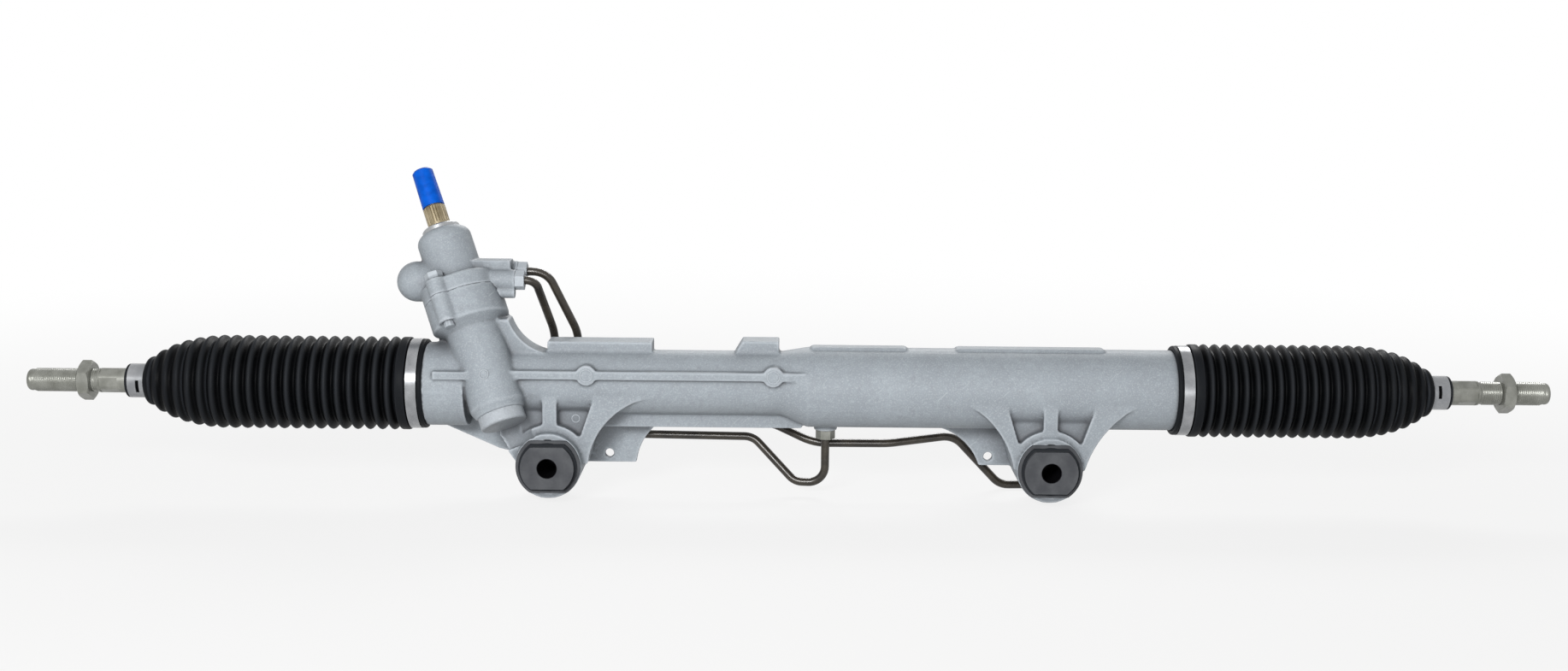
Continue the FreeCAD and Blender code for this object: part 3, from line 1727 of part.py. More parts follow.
def make_tie_rod(side):
    """Lock washer, socket, ball seat, tie rod and jam nut on one side."""
    name = "left" if side < 0 else "right"
    gap = d.seat_gap
    ball = d.ball_radius
    at_ball = outward(side, BALL_STATION)
    seat_inner = ball + d.running_gap
    seat_outer = seat_inner + d.seat_wall
    cavity = seat_outer + d.running_gap
    mouth = d.socket_lip
    lip_radius = root_of(cavity * cavity - mouth * mouth)
    # the crimped lip touches the seat's sphere where it ends, and runs back to the bore
    lip_foot = mouth - (cavity - lip_radius) * lip_radius / mouth
    blank = lathe(
        f"{name}_socket_blank",
        [
            (0, -d.socket_back - d.stud_length),
            (d.stud_radius - 1, -d.socket_back - d.stud_length),
            (d.stud_radius, 1 - d.socket_back - d.stud_length),
            (d.stud_radius, -d.socket_back),
            (d.socket_wrench_radius, -d.socket_back),
            (d.socket_wrench_radius, -d.socket_shoulder - 2),
            (d.socket_radius, -d.socket_shoulder),
            (d.socket_radius, mouth),
            (d.socket_front_radius, d.socket_front),
            (d.socket_mouth_radius, d.socket_front),
            (lip_radius, mouth),
            (cavity, lip_foot),
            (cavity, -cavity),
            (0, -cavity),
        ],
        at_ball,
    )
    zone = d.socket_back - d.socket_shoulder - 2
    ring_tool = rod(
        f"{name}_wrench_zone", d.socket_radius + 2, zone, outward(side, BALL_STATION - d.socket_back)
    )
    flats = block(
        f"{name}_wrench_flats",
        (-d.socket_wrench_across / 2, -d.socket_radius - 3, -1),
        (d.socket_wrench_across / 2, d.socket_radius + 3, zone + 1),
        outward(side, BALL_STATION - d.socket_back),
    )
    parts = [cut(f"{name}_inner_socket", blank, cut(f"{name}_wrench_cut", ring_tool, flats))]
    washer_start = d.rack_half_length + gap
    washer_end = BALL_STATION - d.socket_back - gap
    parts.append(
        ring(
            f"{name}_lock_washer",
            d.stud_radius + gap,
            d.washer_radius,
            washer_start,
            washer_end,
            outward(side, 0),
        )
    )

    shoulder = d.seat_shoulder
    flank = d.seat_flank
    back = d.seat_back
    relief = d.seat_relief
    # behind the ball's equator the seat stands off it, as a pocket for grease
    pocket = seat_inner + d.seat_pocket_gap
    floor = back - d.seat_floor
    parts.append(
        lathe(
            f"{name}_ball_seat",
            [
                (across(seat_inner, d.seat_front), d.seat_front),
                (across(seat_outer, d.seat_front), d.seat_front),
                (across(seat_outer, shoulder), shoulder),
                (across(seat_outer, shoulder), -shoulder),
                (across(seat_outer, flank), -flank),
                (across(seat_outer, back), -back),
                (0, -back),
                (0, -floor),
                (across(pocket, floor - 1), -floor),
                (across(pocket, floor - 1), 1 - floor),
                (across(pocket, relief + 0.5), -relief - 0.5),
                (across(seat_inner, relief), -relief, seat_inner),
            ],
            at_ball,
        )
    )
    neck = d.neck_radius
    thread = d.thread_reach
    tip = d.tip_reach
    bar = lathe(
        f"{name}_tie_rod_blank",
        [
            (0, -ball, ball),
            (neck, root_of(ball * ball - neck * neck)),
            (neck, d.neck_end),
            (d.rod_radius, d.rod_start),
            (d.rod_radius, thread - 0.5),
            (d.thread_radius, thread),
            (d.thread_radius, tip - d.tip_round),
            (d.thread_radius - d.tip_round / 2, tip - d.tip_round / 4),
            (d.thread_radius - d.tip_round, tip),
            (0, tip),
        ],
        at_ball,
    )
    flat_place = outward(side, BALL_STATION + d.rod_flat_reach)
    shell = rod(f"{name}_flat_zone", d.rod_radius + 2, d.rod_flat_length, flat_place)
    core = hexagon(f"{name}_flat_core", d.rod_flats_across, d.rod_flat_length, flat_place)
    parts.append(cut(f"{name}_tie_rod", bar, cut(f"{name}_flats_cut", shell, core)))
    station = BALL_STATION + (d.jam_nut_reach_left if side < 0 else d.jam_nut_reach_right)
    nut_place = outward(side, station)
    height = d.jam_nut_height
    prism = hexagon(f"{name}_nut_prism", d.jam_nut_across, height, nut_place)
    corner = d.jam_nut_across / root_of(lift(3))
    dome = lathe(
        f"{name}_nut_dome",
        [
            (0, 0),
            (d.jam_nut_across / 2, 0),
            (corner, 1.2),
            (corner, height - 1.2),
            (d.jam_nut_across / 2, height),
            (0, height),
        ],
        nut_place,
    )
    hole = rod(f"{name}_nut_hole", d.thread_radius + gap, height + 2, outward(side, station - 1))
    parts.append(cut(f"{name}_jam_nut", common(f"{name}_nut_blank", prism, dome), hole))
    return parts


def crest_radius(place, turn):
    """The folds' outer radius at a place: full, then rounding over past the turn, towards the tie rod."""
    past = place - turn
    if past.value <= 0:
        return d.boot_radius
    share = past / d.taper_length
    return d.boot_radius * root_of(1 - share * share)


def fold_depth(place, turn):
    """The folds grow shallower past the turn."""
    past = place - turn
    if past.value <= 0:
        return d.fold_depth
    return d.fold_depth - (d.fold_depth - d.last_fold_depth) * past / d.taper_length


def make_boot(side):
    """A rubber boot from the housing's seat to the tie rod: a smooth cuff, a bead, the folds and a neck."""
    name = "left" if side < 0 else "right"
    wall = d.boot_wall
    ball = BALL_STATION + d.rack_offset * side
    start = CUFF_END
    end = ball + d.boot_end_reach
    turn = ball + d.taper_reach
    neck_end = ball + d.boot_neck_reach
    seat = d.cuff_seat_radius + d.seat_gap
    bead = start - 3
    folds = int(d.fold_count.value)
    pitch = (end - start) / folds
    corners = [
        (seat, CUFF_START + 0.3),
        (d.cuff_radius, CUFF_START + 0.3),
        (d.cuff_radius, bead - d.cuff_bead_width),
        (d.cuff_bead_radius, bead - d.cuff_bead_width + 1),
        (d.cuff_bead_radius, bead),
    ]
    for fold in range(folds + 1):
        valley = start + pitch * fold
        crest = valley + pitch / 2
        corners.append((crest_radius(valley, turn) - fold_depth(valley, turn), valley))
        if fold < folds:
            corners.append((crest_radius(crest, turn), crest))
    inside = [
        (crest_radius(place, turn) - fold_depth(place, turn) - wall, place - wall)
        for place in (end, turn + d.taper_length / 2, turn)
    ]
    corners += [
        (d.boot_neck_radius, end + 4),
        (d.boot_neck_radius, neck_end),
        (d.rod_radius + d.seat_gap, neck_end),
        (d.rod_radius + d.seat_gap, end - wall),
        *inside,
        (d.boot_radius - d.fold_depth - wall, start - 1.5),
        (seat, start - 2.7),
    ]
    return lathe(f"{name}_boot", corners, outward_fixed(side, 0))


def make_clamps(side):
    """The wide band on the housing and the narrow slotted band on the tie rod."""
    name = "left" if side < 0 else "right"
    gap = d.seat_gap
    start = CUFF_START + d.large_clamp_place
    end = start + d.large_clamp_width
    inner = d.cuff_radius + gap
    outer = inner + d.large_clamp_thickness
    band = ring(f"{name}_large_band", inner, outer, start, end, outward_fixed(side, 0))
    ear_place = outward_fixed(side, start + 1) * turned_about_z(90 * side)
    half_ear = d.clamp_ear_width / 2
    ear = block(
        f"{name}_clamp_ear",
        (-outer - d.clamp_ear_height + 1, -half_ear, 0),
        (-inner - 0.1, half_ear, d.large_clamp_width - 2),
        ear_place,
    )
    large = fuse(f"{name}_large_clamp", band, ear)
    start = BALL_STATION + d.small_clamp_reach
    inner = d.boot_neck_radius + gap
    outer = inner + d.small_clamp_thickness
    place = outward(side, 0)
    band = ring(f"{name}_small_band", inner, outer, start, start + d.small_clamp_width, place)
    low = (-d.small_clamp_slot / 2 - 1, 0, start + 3)
    high = (d.small_clamp_slot / 2 + 6, outer + 2, start + 3 + d.small_clamp_slot)
    turned = place * turned_about_z(0 if side > 0 else 180)
    slot = block(f"{name}_clamp_slot", low, high, turned)
    small = cut(f"{name}_small_clamp", band, slot)
    return [large, small]


def pipe_path(points, radii):
    """Straight runs joined by tangent arcs; one radius for each inner point."""
    points = [Vector(*(lift(number).value for number in point)) for point in points]
    edges = []
    start = points[0]
    for index, radius in enumerate(radii, start=1):
        corner = points[index]
        into = (corner - points[index - 1]).normalize()
        out = (points[index + 1] - corner).normalize()
        turn = into.getAngle(out)
        reach = radius * math.tan(turn / 2)
        first = corner - into * reach
        last = corner + out * reach
        bisector = (out - into).normalize()
        centre = corner + bisector * (radius / math.cos(turn / 2))
        middle = centre - bisector * radius
        edges.append(Part.LineSegment(start, first).toShape())
        edges.append(Part.Arc(first, middle, last).toShape())
        start = last
    edges.append(Part.LineSegment(start, points[-1]).toShape())
    return Part.Wire(edges)


def make_pipe(label, points, radii):
    path = doc.addObject("Part::Feature", f"{label}_path")
    path.Shape = pipe_path(points, radii)
    section = doc.addObject("Part::Circle", f"{label}_section")
    bind(section, "Radius", d.pipe_radius)
    first = path.Shape.Vertexes[0].Point
    section.Placement = facing(first, path.Shape.Edges[0].tangentAt(path.Shape.Edges[0].FirstParameter))
    pipe = doc.addObject("Part::Sweep", label)
    pipe.Sections = [section]
    pipe.Spine = (path, [f"Edge{number + 1}" for number in range(len(path.Shape.Edges))])
    pipe.Solid = True
    pipe.Frenet = False
    return pipe


def make_pipes():
    """The two steel pipes from the valve to the ends of the cylinder, with their nuts."""
    start = d.valve_port_face - d.pipe_nut_sink
    left = make_pipe(
        "left_chamber_pipe",
        [
            (start, d.front_port_depth, d.front_port_height),
            (-203, d.front_port_depth, d.front_port_height),
            (-192, 33, 92),
            (-192, 32, 12.5),
            (-36, 24, 12.5),
            (-3, d.left_port_depth + 3, -20),
            (d.left_port_place, d.left_port_depth, -20),
            (d.left_port_place, d.left_port_depth, d.cylinder_port_height + d.pipe_nut_sink),
        ],
        [9, 30, 18, 16, 14, 13],
    )
    port = cylinder_port(1)
    bend = port.multVec(Vector(0, 0, d.pipe_nut_length.value + 8))
    seat = port.multVec(Vector(0, 0, -d.pipe_nut_sink.value))
    right = make_pipe(
        "right_chamber_pipe",
        [
            (start, d.rear_port_depth, d.rear_port_height),
            (-196, d.rear_port_depth, d.rear_port_height),
            (-174, 34, 92),
            (-174, 34, 23),
            (-22, 32, 22),
            (12, 18, 9),
            (70, 19, 9),
            (122, 28, 14),
            (160, bend.y - 3, -27),
            (bend.x, bend.y, -27),
            bend,
            seat,
        ],
        [16, 30, 18, 30, 40, 60, 20, 16, 14, 12],
    )
    nuts = []
    nut_radius = d.pipe_radius + d.seat_gap
    length = d.pipe_nut_length
    for number, (depth, height) in enumerate(
        ((d.front_port_depth, d.front_port_height), (d.rear_port_depth, d.rear_port_height))
    ):
        origin = Vector(d.valve_port_face.value + 0.02, depth.value, height.value)
        place = facing(origin, Vector(1, 0, 0))
        blank = hexagon(f"valve_nut_blank_{number}", d.pipe_nut_across, length, place)
        hole = rod(f"valve_nut_hole_{number}", nut_radius, length, place)
        nuts.append(cut(f"valve_nut_{number}", blank, hole))
    valve_nuts = group("valve_pipe_nuts", *nuts)
    nuts = []
    for number, side in enumerate((-1, 1)):
        place = sunk(cylinder_port(side), -d.seat_gap)
        blank = hexagon(f"cylinder_nut_blank_{number}", d.pipe_nut_across, length, place)
        hole = rod(f"cylinder_nut_hole_{number}", nut_radius, length, place)
        nuts.append(cut(f"cylinder_nut_{number}", blank, hole))
    return [left, right, valve_nuts, group("cylinder_pipe_nuts", *nuts)]


def make_everything():
    parts = [make_rack_housing(), make_valve_housing(), make_valve_bolts(), make_rack_bar()]
    parts.append(make_pinion())
    parts += make_pinion_supports()
    parts += make_valve()
    parts += make_valve_supports()
    parts += make_rack_guide()
    parts += make_cylinder_parts()
    for side in (-1, 1):
        parts += make_bushing(side)
        parts += make_tie_rod(side)
        parts.append(make_boot(side))
        parts += make_clamps(side)
    parts += make_pipes()
    return parts


def check_document():
    """Stops at any object that failed to compute."""
    for item in doc.Objects:
        if "Invalid" in item.State or "Error" in item.State:
            raise RuntimeError(f"{item.Label} failed: {item.State}")


PARTS = make_everything()
doc.recompute()
check_document()
os.makedirs("parts", exist_ok=True)
for item in PARTS:
    if item.Shape.isNull() or not item.Shape.isValid() or not item.Shape.Solids:
        raise RuntimeError(f"{item.Label} has no valid solid")
for item in PARTS:
    item.Shape.exportStep(f"parts/{item.Label}.step")
print(len(PARTS), "parts,", sum(len(item.Shape.Solids) for item in PARTS), "solids")
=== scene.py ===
"""A power steering rack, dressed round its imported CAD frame.

X runs along the rack, Z is up and the viewer is at -Y. Blender works in metres. Sizes of the object are
given in millimetres and turned into metres with MM.
"""
import json
import math

import bmesh
import bpy
import numpy as np
from mathutils import Matrix, Vector

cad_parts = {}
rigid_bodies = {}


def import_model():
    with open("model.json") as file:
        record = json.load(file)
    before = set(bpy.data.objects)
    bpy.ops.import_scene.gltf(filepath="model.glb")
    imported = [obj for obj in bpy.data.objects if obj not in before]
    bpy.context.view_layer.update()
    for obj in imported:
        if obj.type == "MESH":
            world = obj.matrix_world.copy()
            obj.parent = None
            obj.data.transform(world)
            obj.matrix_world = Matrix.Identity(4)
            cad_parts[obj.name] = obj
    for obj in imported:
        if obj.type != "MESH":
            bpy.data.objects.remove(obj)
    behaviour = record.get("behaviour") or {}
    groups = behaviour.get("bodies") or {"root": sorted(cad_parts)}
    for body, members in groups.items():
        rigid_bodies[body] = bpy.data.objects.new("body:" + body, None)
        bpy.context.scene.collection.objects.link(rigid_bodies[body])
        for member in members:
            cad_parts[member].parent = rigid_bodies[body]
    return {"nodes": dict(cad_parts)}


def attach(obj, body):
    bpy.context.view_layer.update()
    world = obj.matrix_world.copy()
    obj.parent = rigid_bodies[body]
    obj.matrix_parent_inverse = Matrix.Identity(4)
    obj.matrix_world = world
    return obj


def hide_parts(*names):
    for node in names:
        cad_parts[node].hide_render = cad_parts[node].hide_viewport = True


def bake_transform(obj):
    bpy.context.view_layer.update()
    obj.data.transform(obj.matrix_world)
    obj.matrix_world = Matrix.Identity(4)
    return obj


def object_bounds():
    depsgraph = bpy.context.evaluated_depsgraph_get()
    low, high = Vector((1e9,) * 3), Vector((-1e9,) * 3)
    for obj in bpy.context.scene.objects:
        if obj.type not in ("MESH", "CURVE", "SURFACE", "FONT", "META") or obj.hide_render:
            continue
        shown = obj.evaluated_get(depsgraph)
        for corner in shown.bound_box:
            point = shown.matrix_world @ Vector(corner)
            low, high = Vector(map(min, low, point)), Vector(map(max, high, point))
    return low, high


for leftover in list(bpy.data.objects):
    bpy.data.objects.remove(leftover)
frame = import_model()
cad_box = [list(corner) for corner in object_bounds()]

MM = 0.001
SIDES = {"left": -1, "right": 1}

# the camera
IMAGE_WIDTH = 1834            # pixels of the photograph
FOCAL_PIXELS = 2137.0
SENSOR = 36.0
VIEW_CENTRE = Vector((-12.4, 0.0, 96.8)) * MM
VIEW_DISTANCE = 1400 * MM
VIEW_ELEVATION = math.radians(9)
VIEW_ROLL = math.radians(0.55)

# the light and the floor, in metres
AMBIENT = 0.10                # strength of the even light from all round
FLOOR_REACH = 40.0
FLOOR_SHARE_LIT = 0.17        # of what a direct look sees near the object, so that the floor keeps the shadow
SHADE_NEAR = 0.45             # the lit share is whole up to this far from the object's middle,
SHADE_FAR = 1.6               # and gone from here on

# the rack and its joints, in mm along the rack from its middle
RACK_HEIGHT = 57 * MM         # metres: the rack's axis above the bushings' axis
REST_OFFSET = 8.5             # the moving parts sit this far to the left at rest
TIE_ROD_BALL = 418
BALL_RADIUS = 12.85           # a little less than its seat, so that turned facets stay clear of it
ROD_PROFILE = (               # (place, radius) from the ball's neck to the thread
    (429.4, 7.3), (442, 7.45), (447, 7.7), (454, 9.2), (457, 9.5), (505, 9.5), (508.5, 9.5),
    (512.5, 9.45), (513.9, 9.45), (514, 9.45), (528, 9.45), (528.1, 9.45),
    (529.6, 9.3), (530.2, 8.4), (532.5, 8.2), (532.5, 0.05),
)
FLATS = (513.9, 528.1)        # from and to
FLATS_ACROSS = 17.4
THREAD_START = 530.5
THREAD_END = 579.5
THREAD_PITCH = 1.5
THREAD_RADIUS = 9.0
THREAD_DEPTH = 0.9
ROD_TIP = 584

# the boots, in mm; fixed places are along the housing, the others along the rack
BOOT_CUFF_FACE = 285.3        # fixed
BOOT_FOLDS_START = 306        # fixed
BOOT_TURN_START = 430         # where the folds begin to close in on the tie rod
BOOT_TURN_LENGTH = 68
BOOT_FOLDS_END = 486
BOOT_NECK_END = 507
BOOT_RADIUS = 35.8
BOOT_WALL = 1.8
CLAMP_SEAT = 33.5             # radius under the large clamp
CUFF_BORE = 30.4
NECK_RADIUS = 11.9            # under the small clamp
NECK_BORE = 9.8
FOLDS = 20
STRAIGHT_END = 446            # the first length of folds ends by here
SEATED_FOLDS = 2              # folds in the second length; the third holds the rest
FOLD_DEPTH = 5.0
LAST_FOLD_DEPTH = 2.2
FLATTEN_BEFORE_TURN = 40      # the folds begin to get shallower this long before the turn
CREST_SHARPNESS = 0.7         # below 1 widens a fold's crest
STEPS_A_FOLD = 10
BOOT_SEGMENTS = 96

# the castings, in mm
BUSHING_PLACE = 190           # of each bushing's axis from the middle
BORE_SHADE = (8.0, 7.4)        # radii over which a bushing's face turns into the painted shade of its bolt hole
PLATE_HOLES = tuple(((x, 18, 0), 7) for x in (-148, 148))      # (centre, radius) that stay open
RINGS = (                     # (x, z, radius) of the round marks on the front
    (-161.5, 68.9, 4.6), (-20.2, 68.9, 4.6), (-237.0, 71.0, 3.4), (-232.5, 42.0, 3.4), (-171.0, 33.0, 2.9),
)
RING_HALF_WIDTH = 0.42        # of a ring's round section
RING_HALF_HEIGHT = 0.30
RING_RISE = 0.06              # of the section's middle above the casting


# ---------------------------------------------------------------- shader nodes

def put(tree, socket, value):
    """Links socket to value if that is a node's output, or else sets it to that number, vector or colour."""
    if isinstance(value, bpy.types.NodeSocket):
        tree.links.new(value, socket)
    elif socket.type == "RGBA":
        socket.default_value = (*value, 1)
    else:
        socket.default_value = value


def add_node(tree, kind, *values, **named):
    """A new node. values fill its inputs in their order. A capital name is an input, another a setting."""
    node = tree.nodes.new("ShaderNode" + kind)
    for name, value in named.items():
        if name[0].islower():
            setattr(node, name, value)
    for socket, value in zip(node.inputs, values):
        put(tree, socket, value)
    for name, value in named.items():
        if name[0].isupper():
            put(tree, node.inputs[name.replace("_", " ")], value)
    return node


def seen_directly(tree):
    """The node output that is 1 for camera, mirror and glass rays."""
    rays = add_node(tree, "LightPath")
    total = rays.outputs["Is Camera Ray"]
    for kind in ("Is Glossy Ray", "Is Transmission Ray"):
        total = add_node(tree, "Math", total, rays.outputs[kind], operation="MAXIMUM").outputs[0]
    return total


# ---------------------------------------------------------------- camera, lamps and floor

def add_camera():
    """The photograph's view."""
    data = bpy.data.cameras.new("camera")
    data.sensor_width = SENSOR
    data.lens = SENSOR * FOCAL_PIXELS / IMAGE_WIDTH
    data.clip_start = 0.05
    data.clip_end = 20
    camera = bpy.data.objects.new("camera", data)
    back = Vector((0, -math.cos(VIEW_ELEVATION), math.sin(VIEW_ELEVATION)))
    aim = (-back).to_track_quat("-Z", "Y").to_matrix().to_4x4()
    stand = Matrix.Translation(VIEW_CENTRE + back * VIEW_DISTANCE)
    camera.matrix_world = stand @ aim @ Matrix.Rotation(VIEW_ROLL, 4, "Z")
    bpy.context.scene.collection.objects.link(camera)
    bpy.context.scene.camera = camera


def add_lamp(name, place, target, size, power):
    """A soft lamp of some size at a place, aimed at target, in metres and watts."""
    data = bpy.data.lights.new(name, "AREA")
    data.shape = "RECTANGLE"
    data.size = size[0]
    data.size_y = size[1]
    data.energy = power
    lamp = bpy.data.objects.new(name, data)
    lamp.location = place
    lamp.rotation_euler = (Vector(target) - Vector(place)).to_track_quat("-Z", "Y").to_euler()
    bpy.context.scene.collection.objects.link(lamp)


def add_world():
    """White to a direct look and in reflections, and an even light on everything."""
    bpy.context.scene.view_settings.view_transform = "Standard"
    world = bpy.data.worlds.new("studio")
    world.use_nodes = True
    bpy.context.scene.world = world
    tree = world.node_tree
    tree.nodes.clear()
    ambient = add_node(tree, "Background", (1.0, 0.985, 0.97), AMBIENT)
    white = add_node(tree, "Background", (1, 1, 1))
    mix = add_node(tree, "MixShader", seen_directly(tree), ambient.outputs[0], white.outputs[0])
    add_node(tree, "OutputWorld", mix.outputs[0])


def add_floor(height):
    """A plain pale floor that shows its shading near the object and is white further out."""
    mesh = bpy.data.meshes.new("floor")
    far = FLOOR_REACH
    corners = [(-far, -far, height), (far, -far, height), (far, far, height), (-far, far, height)]
    mesh.from_pydata(corners, [], [(0, 1, 2, 3)])
    floor = bpy.data.objects.new("floor", mesh)
    bpy.context.scene.collection.objects.link(floor)
    material = bpy.data.materials.new("pale_floor")
    material.use_nodes = True
    tree = material.node_tree
    tree.nodes.clear()
    place = add_node(tree, "TexCoord").outputs["Object"]
    distance = add_node(tree, "VectorMath", place, operation="LENGTH").outputs["Value"]
    fade = add_node(tree, "MapRange", interpolation_type="SMOOTHSTEP", Value=distance,
                    From_Min=SHADE_NEAR, From_Max=SHADE_FAR, To_Min=1 - FLOOR_SHARE_LIT, To_Max=1.0)
    share = add_node(tree, "Math", seen_directly(tree), fade.outputs["Result"], operation="MULTIPLY")
    lit = add_node(tree, "BsdfDiffuse", (0.6, 0.595, 0.59))
    bright = add_node(tree, "Emission", (1, 1, 1))
    mix = add_node(tree, "MixShader", share.outputs[0], lit.outputs[0], bright.outputs[0])
    add_node(tree, "OutputMaterial", mix.outputs[0])
    mesh.materials.append(material)


# ---------------------------------------------------------------- materials

class Surface:
    """A material whose colour, roughness and relief are patterns laid in the object's own space."""

    def __init__(self, name, **constants):
        """constants are fixed inputs of the shader, such as Metallic=0.5."""
        self.material = bpy.data.materials.new(name)
        self.material.use_nodes = True
        self.tree = self.material.node_tree
        self.shader = self.tree.nodes["Principled BSDF"]
        for socket, value in constants.items():
            self.put(socket.replace("_", " "), value)
        self.place = self.add("TexCoord").outputs["Object"]
        self.relief = None

    def add(self, kind, *values, **named):
        return add_node(self.tree, kind, *values, **named)

    def put(self, socket, value):
        put(self.tree, self.shader.inputs[socket], value)

    def noise(self, size, detail=3.0, rough=0.5, stretch=(1, 1, 1), turn=0.0):
        """Noise with features about size mm wide, turned round Y and divided along each axis by stretch."""
        turned = self.add("Mapping", Vector=self.place, Rotation=(0, turn, 0))
        stretched = self.add("Mapping", Vector=turned.outputs[0], Scale=stretch)
        node = self.add("TexNoise", Vector=stretched.outputs[0], Scale=1 / (size * MM),
                        Detail=detail, Roughness=rough)
        return node.outputs["Fac"]

    def ramp(self, value, low, high, start=0.0, end=1.0):
        """value, mapped from low..high to start..end and held there outside."""
        node = self.add("MapRange", Value=value, From_Min=low, From_Max=high, To_Min=start, To_Max=end)
        return node.outputs["Result"]

    def mixed(self, share, first, second):
        """A colour between first and second, which are colours or outputs."""
        return self.add("Mix", data_type="RGBA", Factor=share, A=first, B=second).outputs["Result"]

    def layered(self, colour, *layers):
        """colour under layers of (share, colour)."""
        for share, layer in layers:
            colour = self.mixed(share, colour, layer)
        return colour

    def edges(self, low, high, most):
        """most on convex edges, fading to 0: on the casting the wear of use, on the rubber a painted highlight
        along the folds' crests.
        """
        return self.ramp(self.add("NewGeometry").outputs["Pointiness"], low, high, 0, most)

    def corner_shade(self, most):
        """Painted shade: most in sharp inner corners, fading to 0."""
        return self.ramp(self.add("NewGeometry").outputs["Pointiness"], 0.492, 0.44, 0, most)

    def occluded_shade(self, reach, most):
        """Painted shade: most in corners and under ribs within reach mm, where ambient occlusion finds them
        shaded, fading to 0 on open faces.
        """
        node = self.add("AmbientOcclusion", samples=8, Distance=reach * MM)
        return self.ramp(node.outputs["AO"], 0.95, 0.45, 0, most)

    def bore_shade(self):
        """Painted shade: 1 in the bolt holes of the two bushings, which lie along Y, so that their bores show
        dark.
        """
        shares = []
        for x in (-BUSHING_PLACE, BUSHING_PLACE):
            moved = self.add("Mapping", Vector=self.place, Location=(-x * MM, 0, 0), Scale=(1, 0, 1))
            radius = self.add("VectorMath", moved.outputs[0], operation="LENGTH").outputs["Value"]
            shares.append(self.ramp(radius, BORE_SHADE[0] * MM, BORE_SHADE[1] * MM))
        return self.add("Math", *shares, operation="MAXIMUM").outputs[0]

    def colour(self, value):
        self.put("Base Color", value)

    def rough(self, value):
        self.put("Roughness", value)

    def bump(self, value, height, strength):
        """Adds relief: value 0..1 stands for height millimetres."""
        node = self.add("Bump", Height=value, Distance=height * MM, Strength=strength)
        if self.relief is not None:
            put(self.tree, node.inputs["Normal"], self.relief)
        self.relief = node.outputs[0]
        self.put("Normal", self.relief)


def cast_aluminium(name="painted_casting", low=(0.288, 0.319, 0.348), high=(0.332, 0.368, 0.40)):
    """Silver paint on a sand casting."""
    s = Surface(name, Specular_IOR_Level=0.14)
    grain = s.noise(0.9, detail=2)
    patches = s.ramp(s.noise(4.5, detail=4, rough=0.65), 0.38, 0.62, 0, 0.55)
    specks = s.ramp(s.noise(1.1, detail=2), 0.50, 0.70, 0, 0.5)
    grime = s.ramp(s.noise(9, detail=5, rough=0.7), 0.60, 0.78, 0, 0.35)
    scratches = s.ramp(s.noise(26, detail=1, stretch=(1, 1, 34), turn=0.75), 0.735, 0.76, 0, 0.45)
    s.colour(s.layered(
        s.mixed(s.ramp(s.noise(38, detail=4), 0.35, 0.65), low, high),
        (patches, (0.270, 0.295, 0.32)),
        (specks, (0.44, 0.48, 0.515)),
        (grime, (0.19, 0.20, 0.21)),
        (scratches, (0.50, 0.54, 0.575)),
        # painted shade: darker in corners, under ribs and in sharp inner corners
        (s.occluded_shade(22, 0.75), (0.105, 0.11, 0.12)),
        (s.corner_shade(0.8), (0.075, 0.075, 0.08)),
        (s.edges(0.507, 0.55, 0.6), (0.52, 0.56, 0.60)),
    ))
    s.rough(s.ramp(grain, 0.3, 0.7, 0.40, 0.58))
    s.bump(grain, 0.10, 0.55)
    s.bump(s.noise(7, detail=3), 0.25, 0.4)
    return s


ROUND = (30, 1, 1)            # how noise is stretched into fine lines round a part that lies along X,
ALONG = (1, 14, 14)           # into lines along it,
EVEN = (1, 1, 1)              # or not at all


def metal(name, low, high, dull=(0.28, 0.45), lines=ROUND, grain=1.2, bore_shade=False, **constants):
    """Turned or drawn metal with fine lines and a slight change of tone. dull is its range of roughness."""
    s = Surface(name, **constants)
    streak = s.noise(grain, detail=4, stretch=lines)
    tone = s.mixed(s.ramp(s.noise(11, detail=3), 0.35, 0.65), low, high)
    # painted shade: the bushings' bolt holes turn near black
    s.colour(s.mixed(s.bore_shade(), tone, (0.006, 0.006, 0.007)) if bore_shade else tone)
    s.rough(s.ramp(streak, 0.3, 0.7, *dull))
    s.bump(streak, 0.02, 0.5)
    return s


def black_rubber():
    s = Surface("black_rubber", Specular_IOR_Level=0.03)
    dust = s.ramp(s.noise(2.2, detail=5, rough=0.7), 0.55, 0.75)
    s.colour(s.layered(
        s.mixed(s.ramp(s.noise(16), 0.35, 0.65), (0.0012, 0.0014, 0.0017), (0.0026, 0.0029, 0.0034)),
        (s.ramp(dust, 0, 1, 0, 0.35), (0.010, 0.0098, 0.0095)),
        # painted highlight: lighter lines along the folds' crests
        (s.edges(0.505, 0.56, 0.8), (0.030, 0.033, 0.038)),
    ))
    s.rough(s.ramp(dust, 0, 1, 0.42, 0.62))
    s.bump(s.noise(0.8, detail=2), 0.05, 0.5)
    return s


def ring_plastic():
    s = Surface("ptfe_plastic")
    s.colour(s.mixed(s.ramp(s.noise(4), 0.35, 0.65), (0.10, 0.085, 0.07), (0.16, 0.135, 0.11)))
    s.rough(s.ramp(s.noise(1.5), 0.3, 0.7, 0.35, 0.5))
    s.bump(s.noise(0.6), 0.02, 0.5)
    return s


def blue_plastic():
    s = Surface("blue_plastic", Specular_IOR_Level=0.1)
    s.colour(s.mixed(s.ramp(s.noise(6, detail=4), 0.35, 0.65), (0.001, 0.078, 0.46), (0.002, 0.105, 0.60)))
    s.rough(s.ramp(s.noise(1.2), 0.3, 0.7, 0.34, 0.48))
    s.bump(s.noise(1.4, detail=3), 0.06, 0.4)
    return s


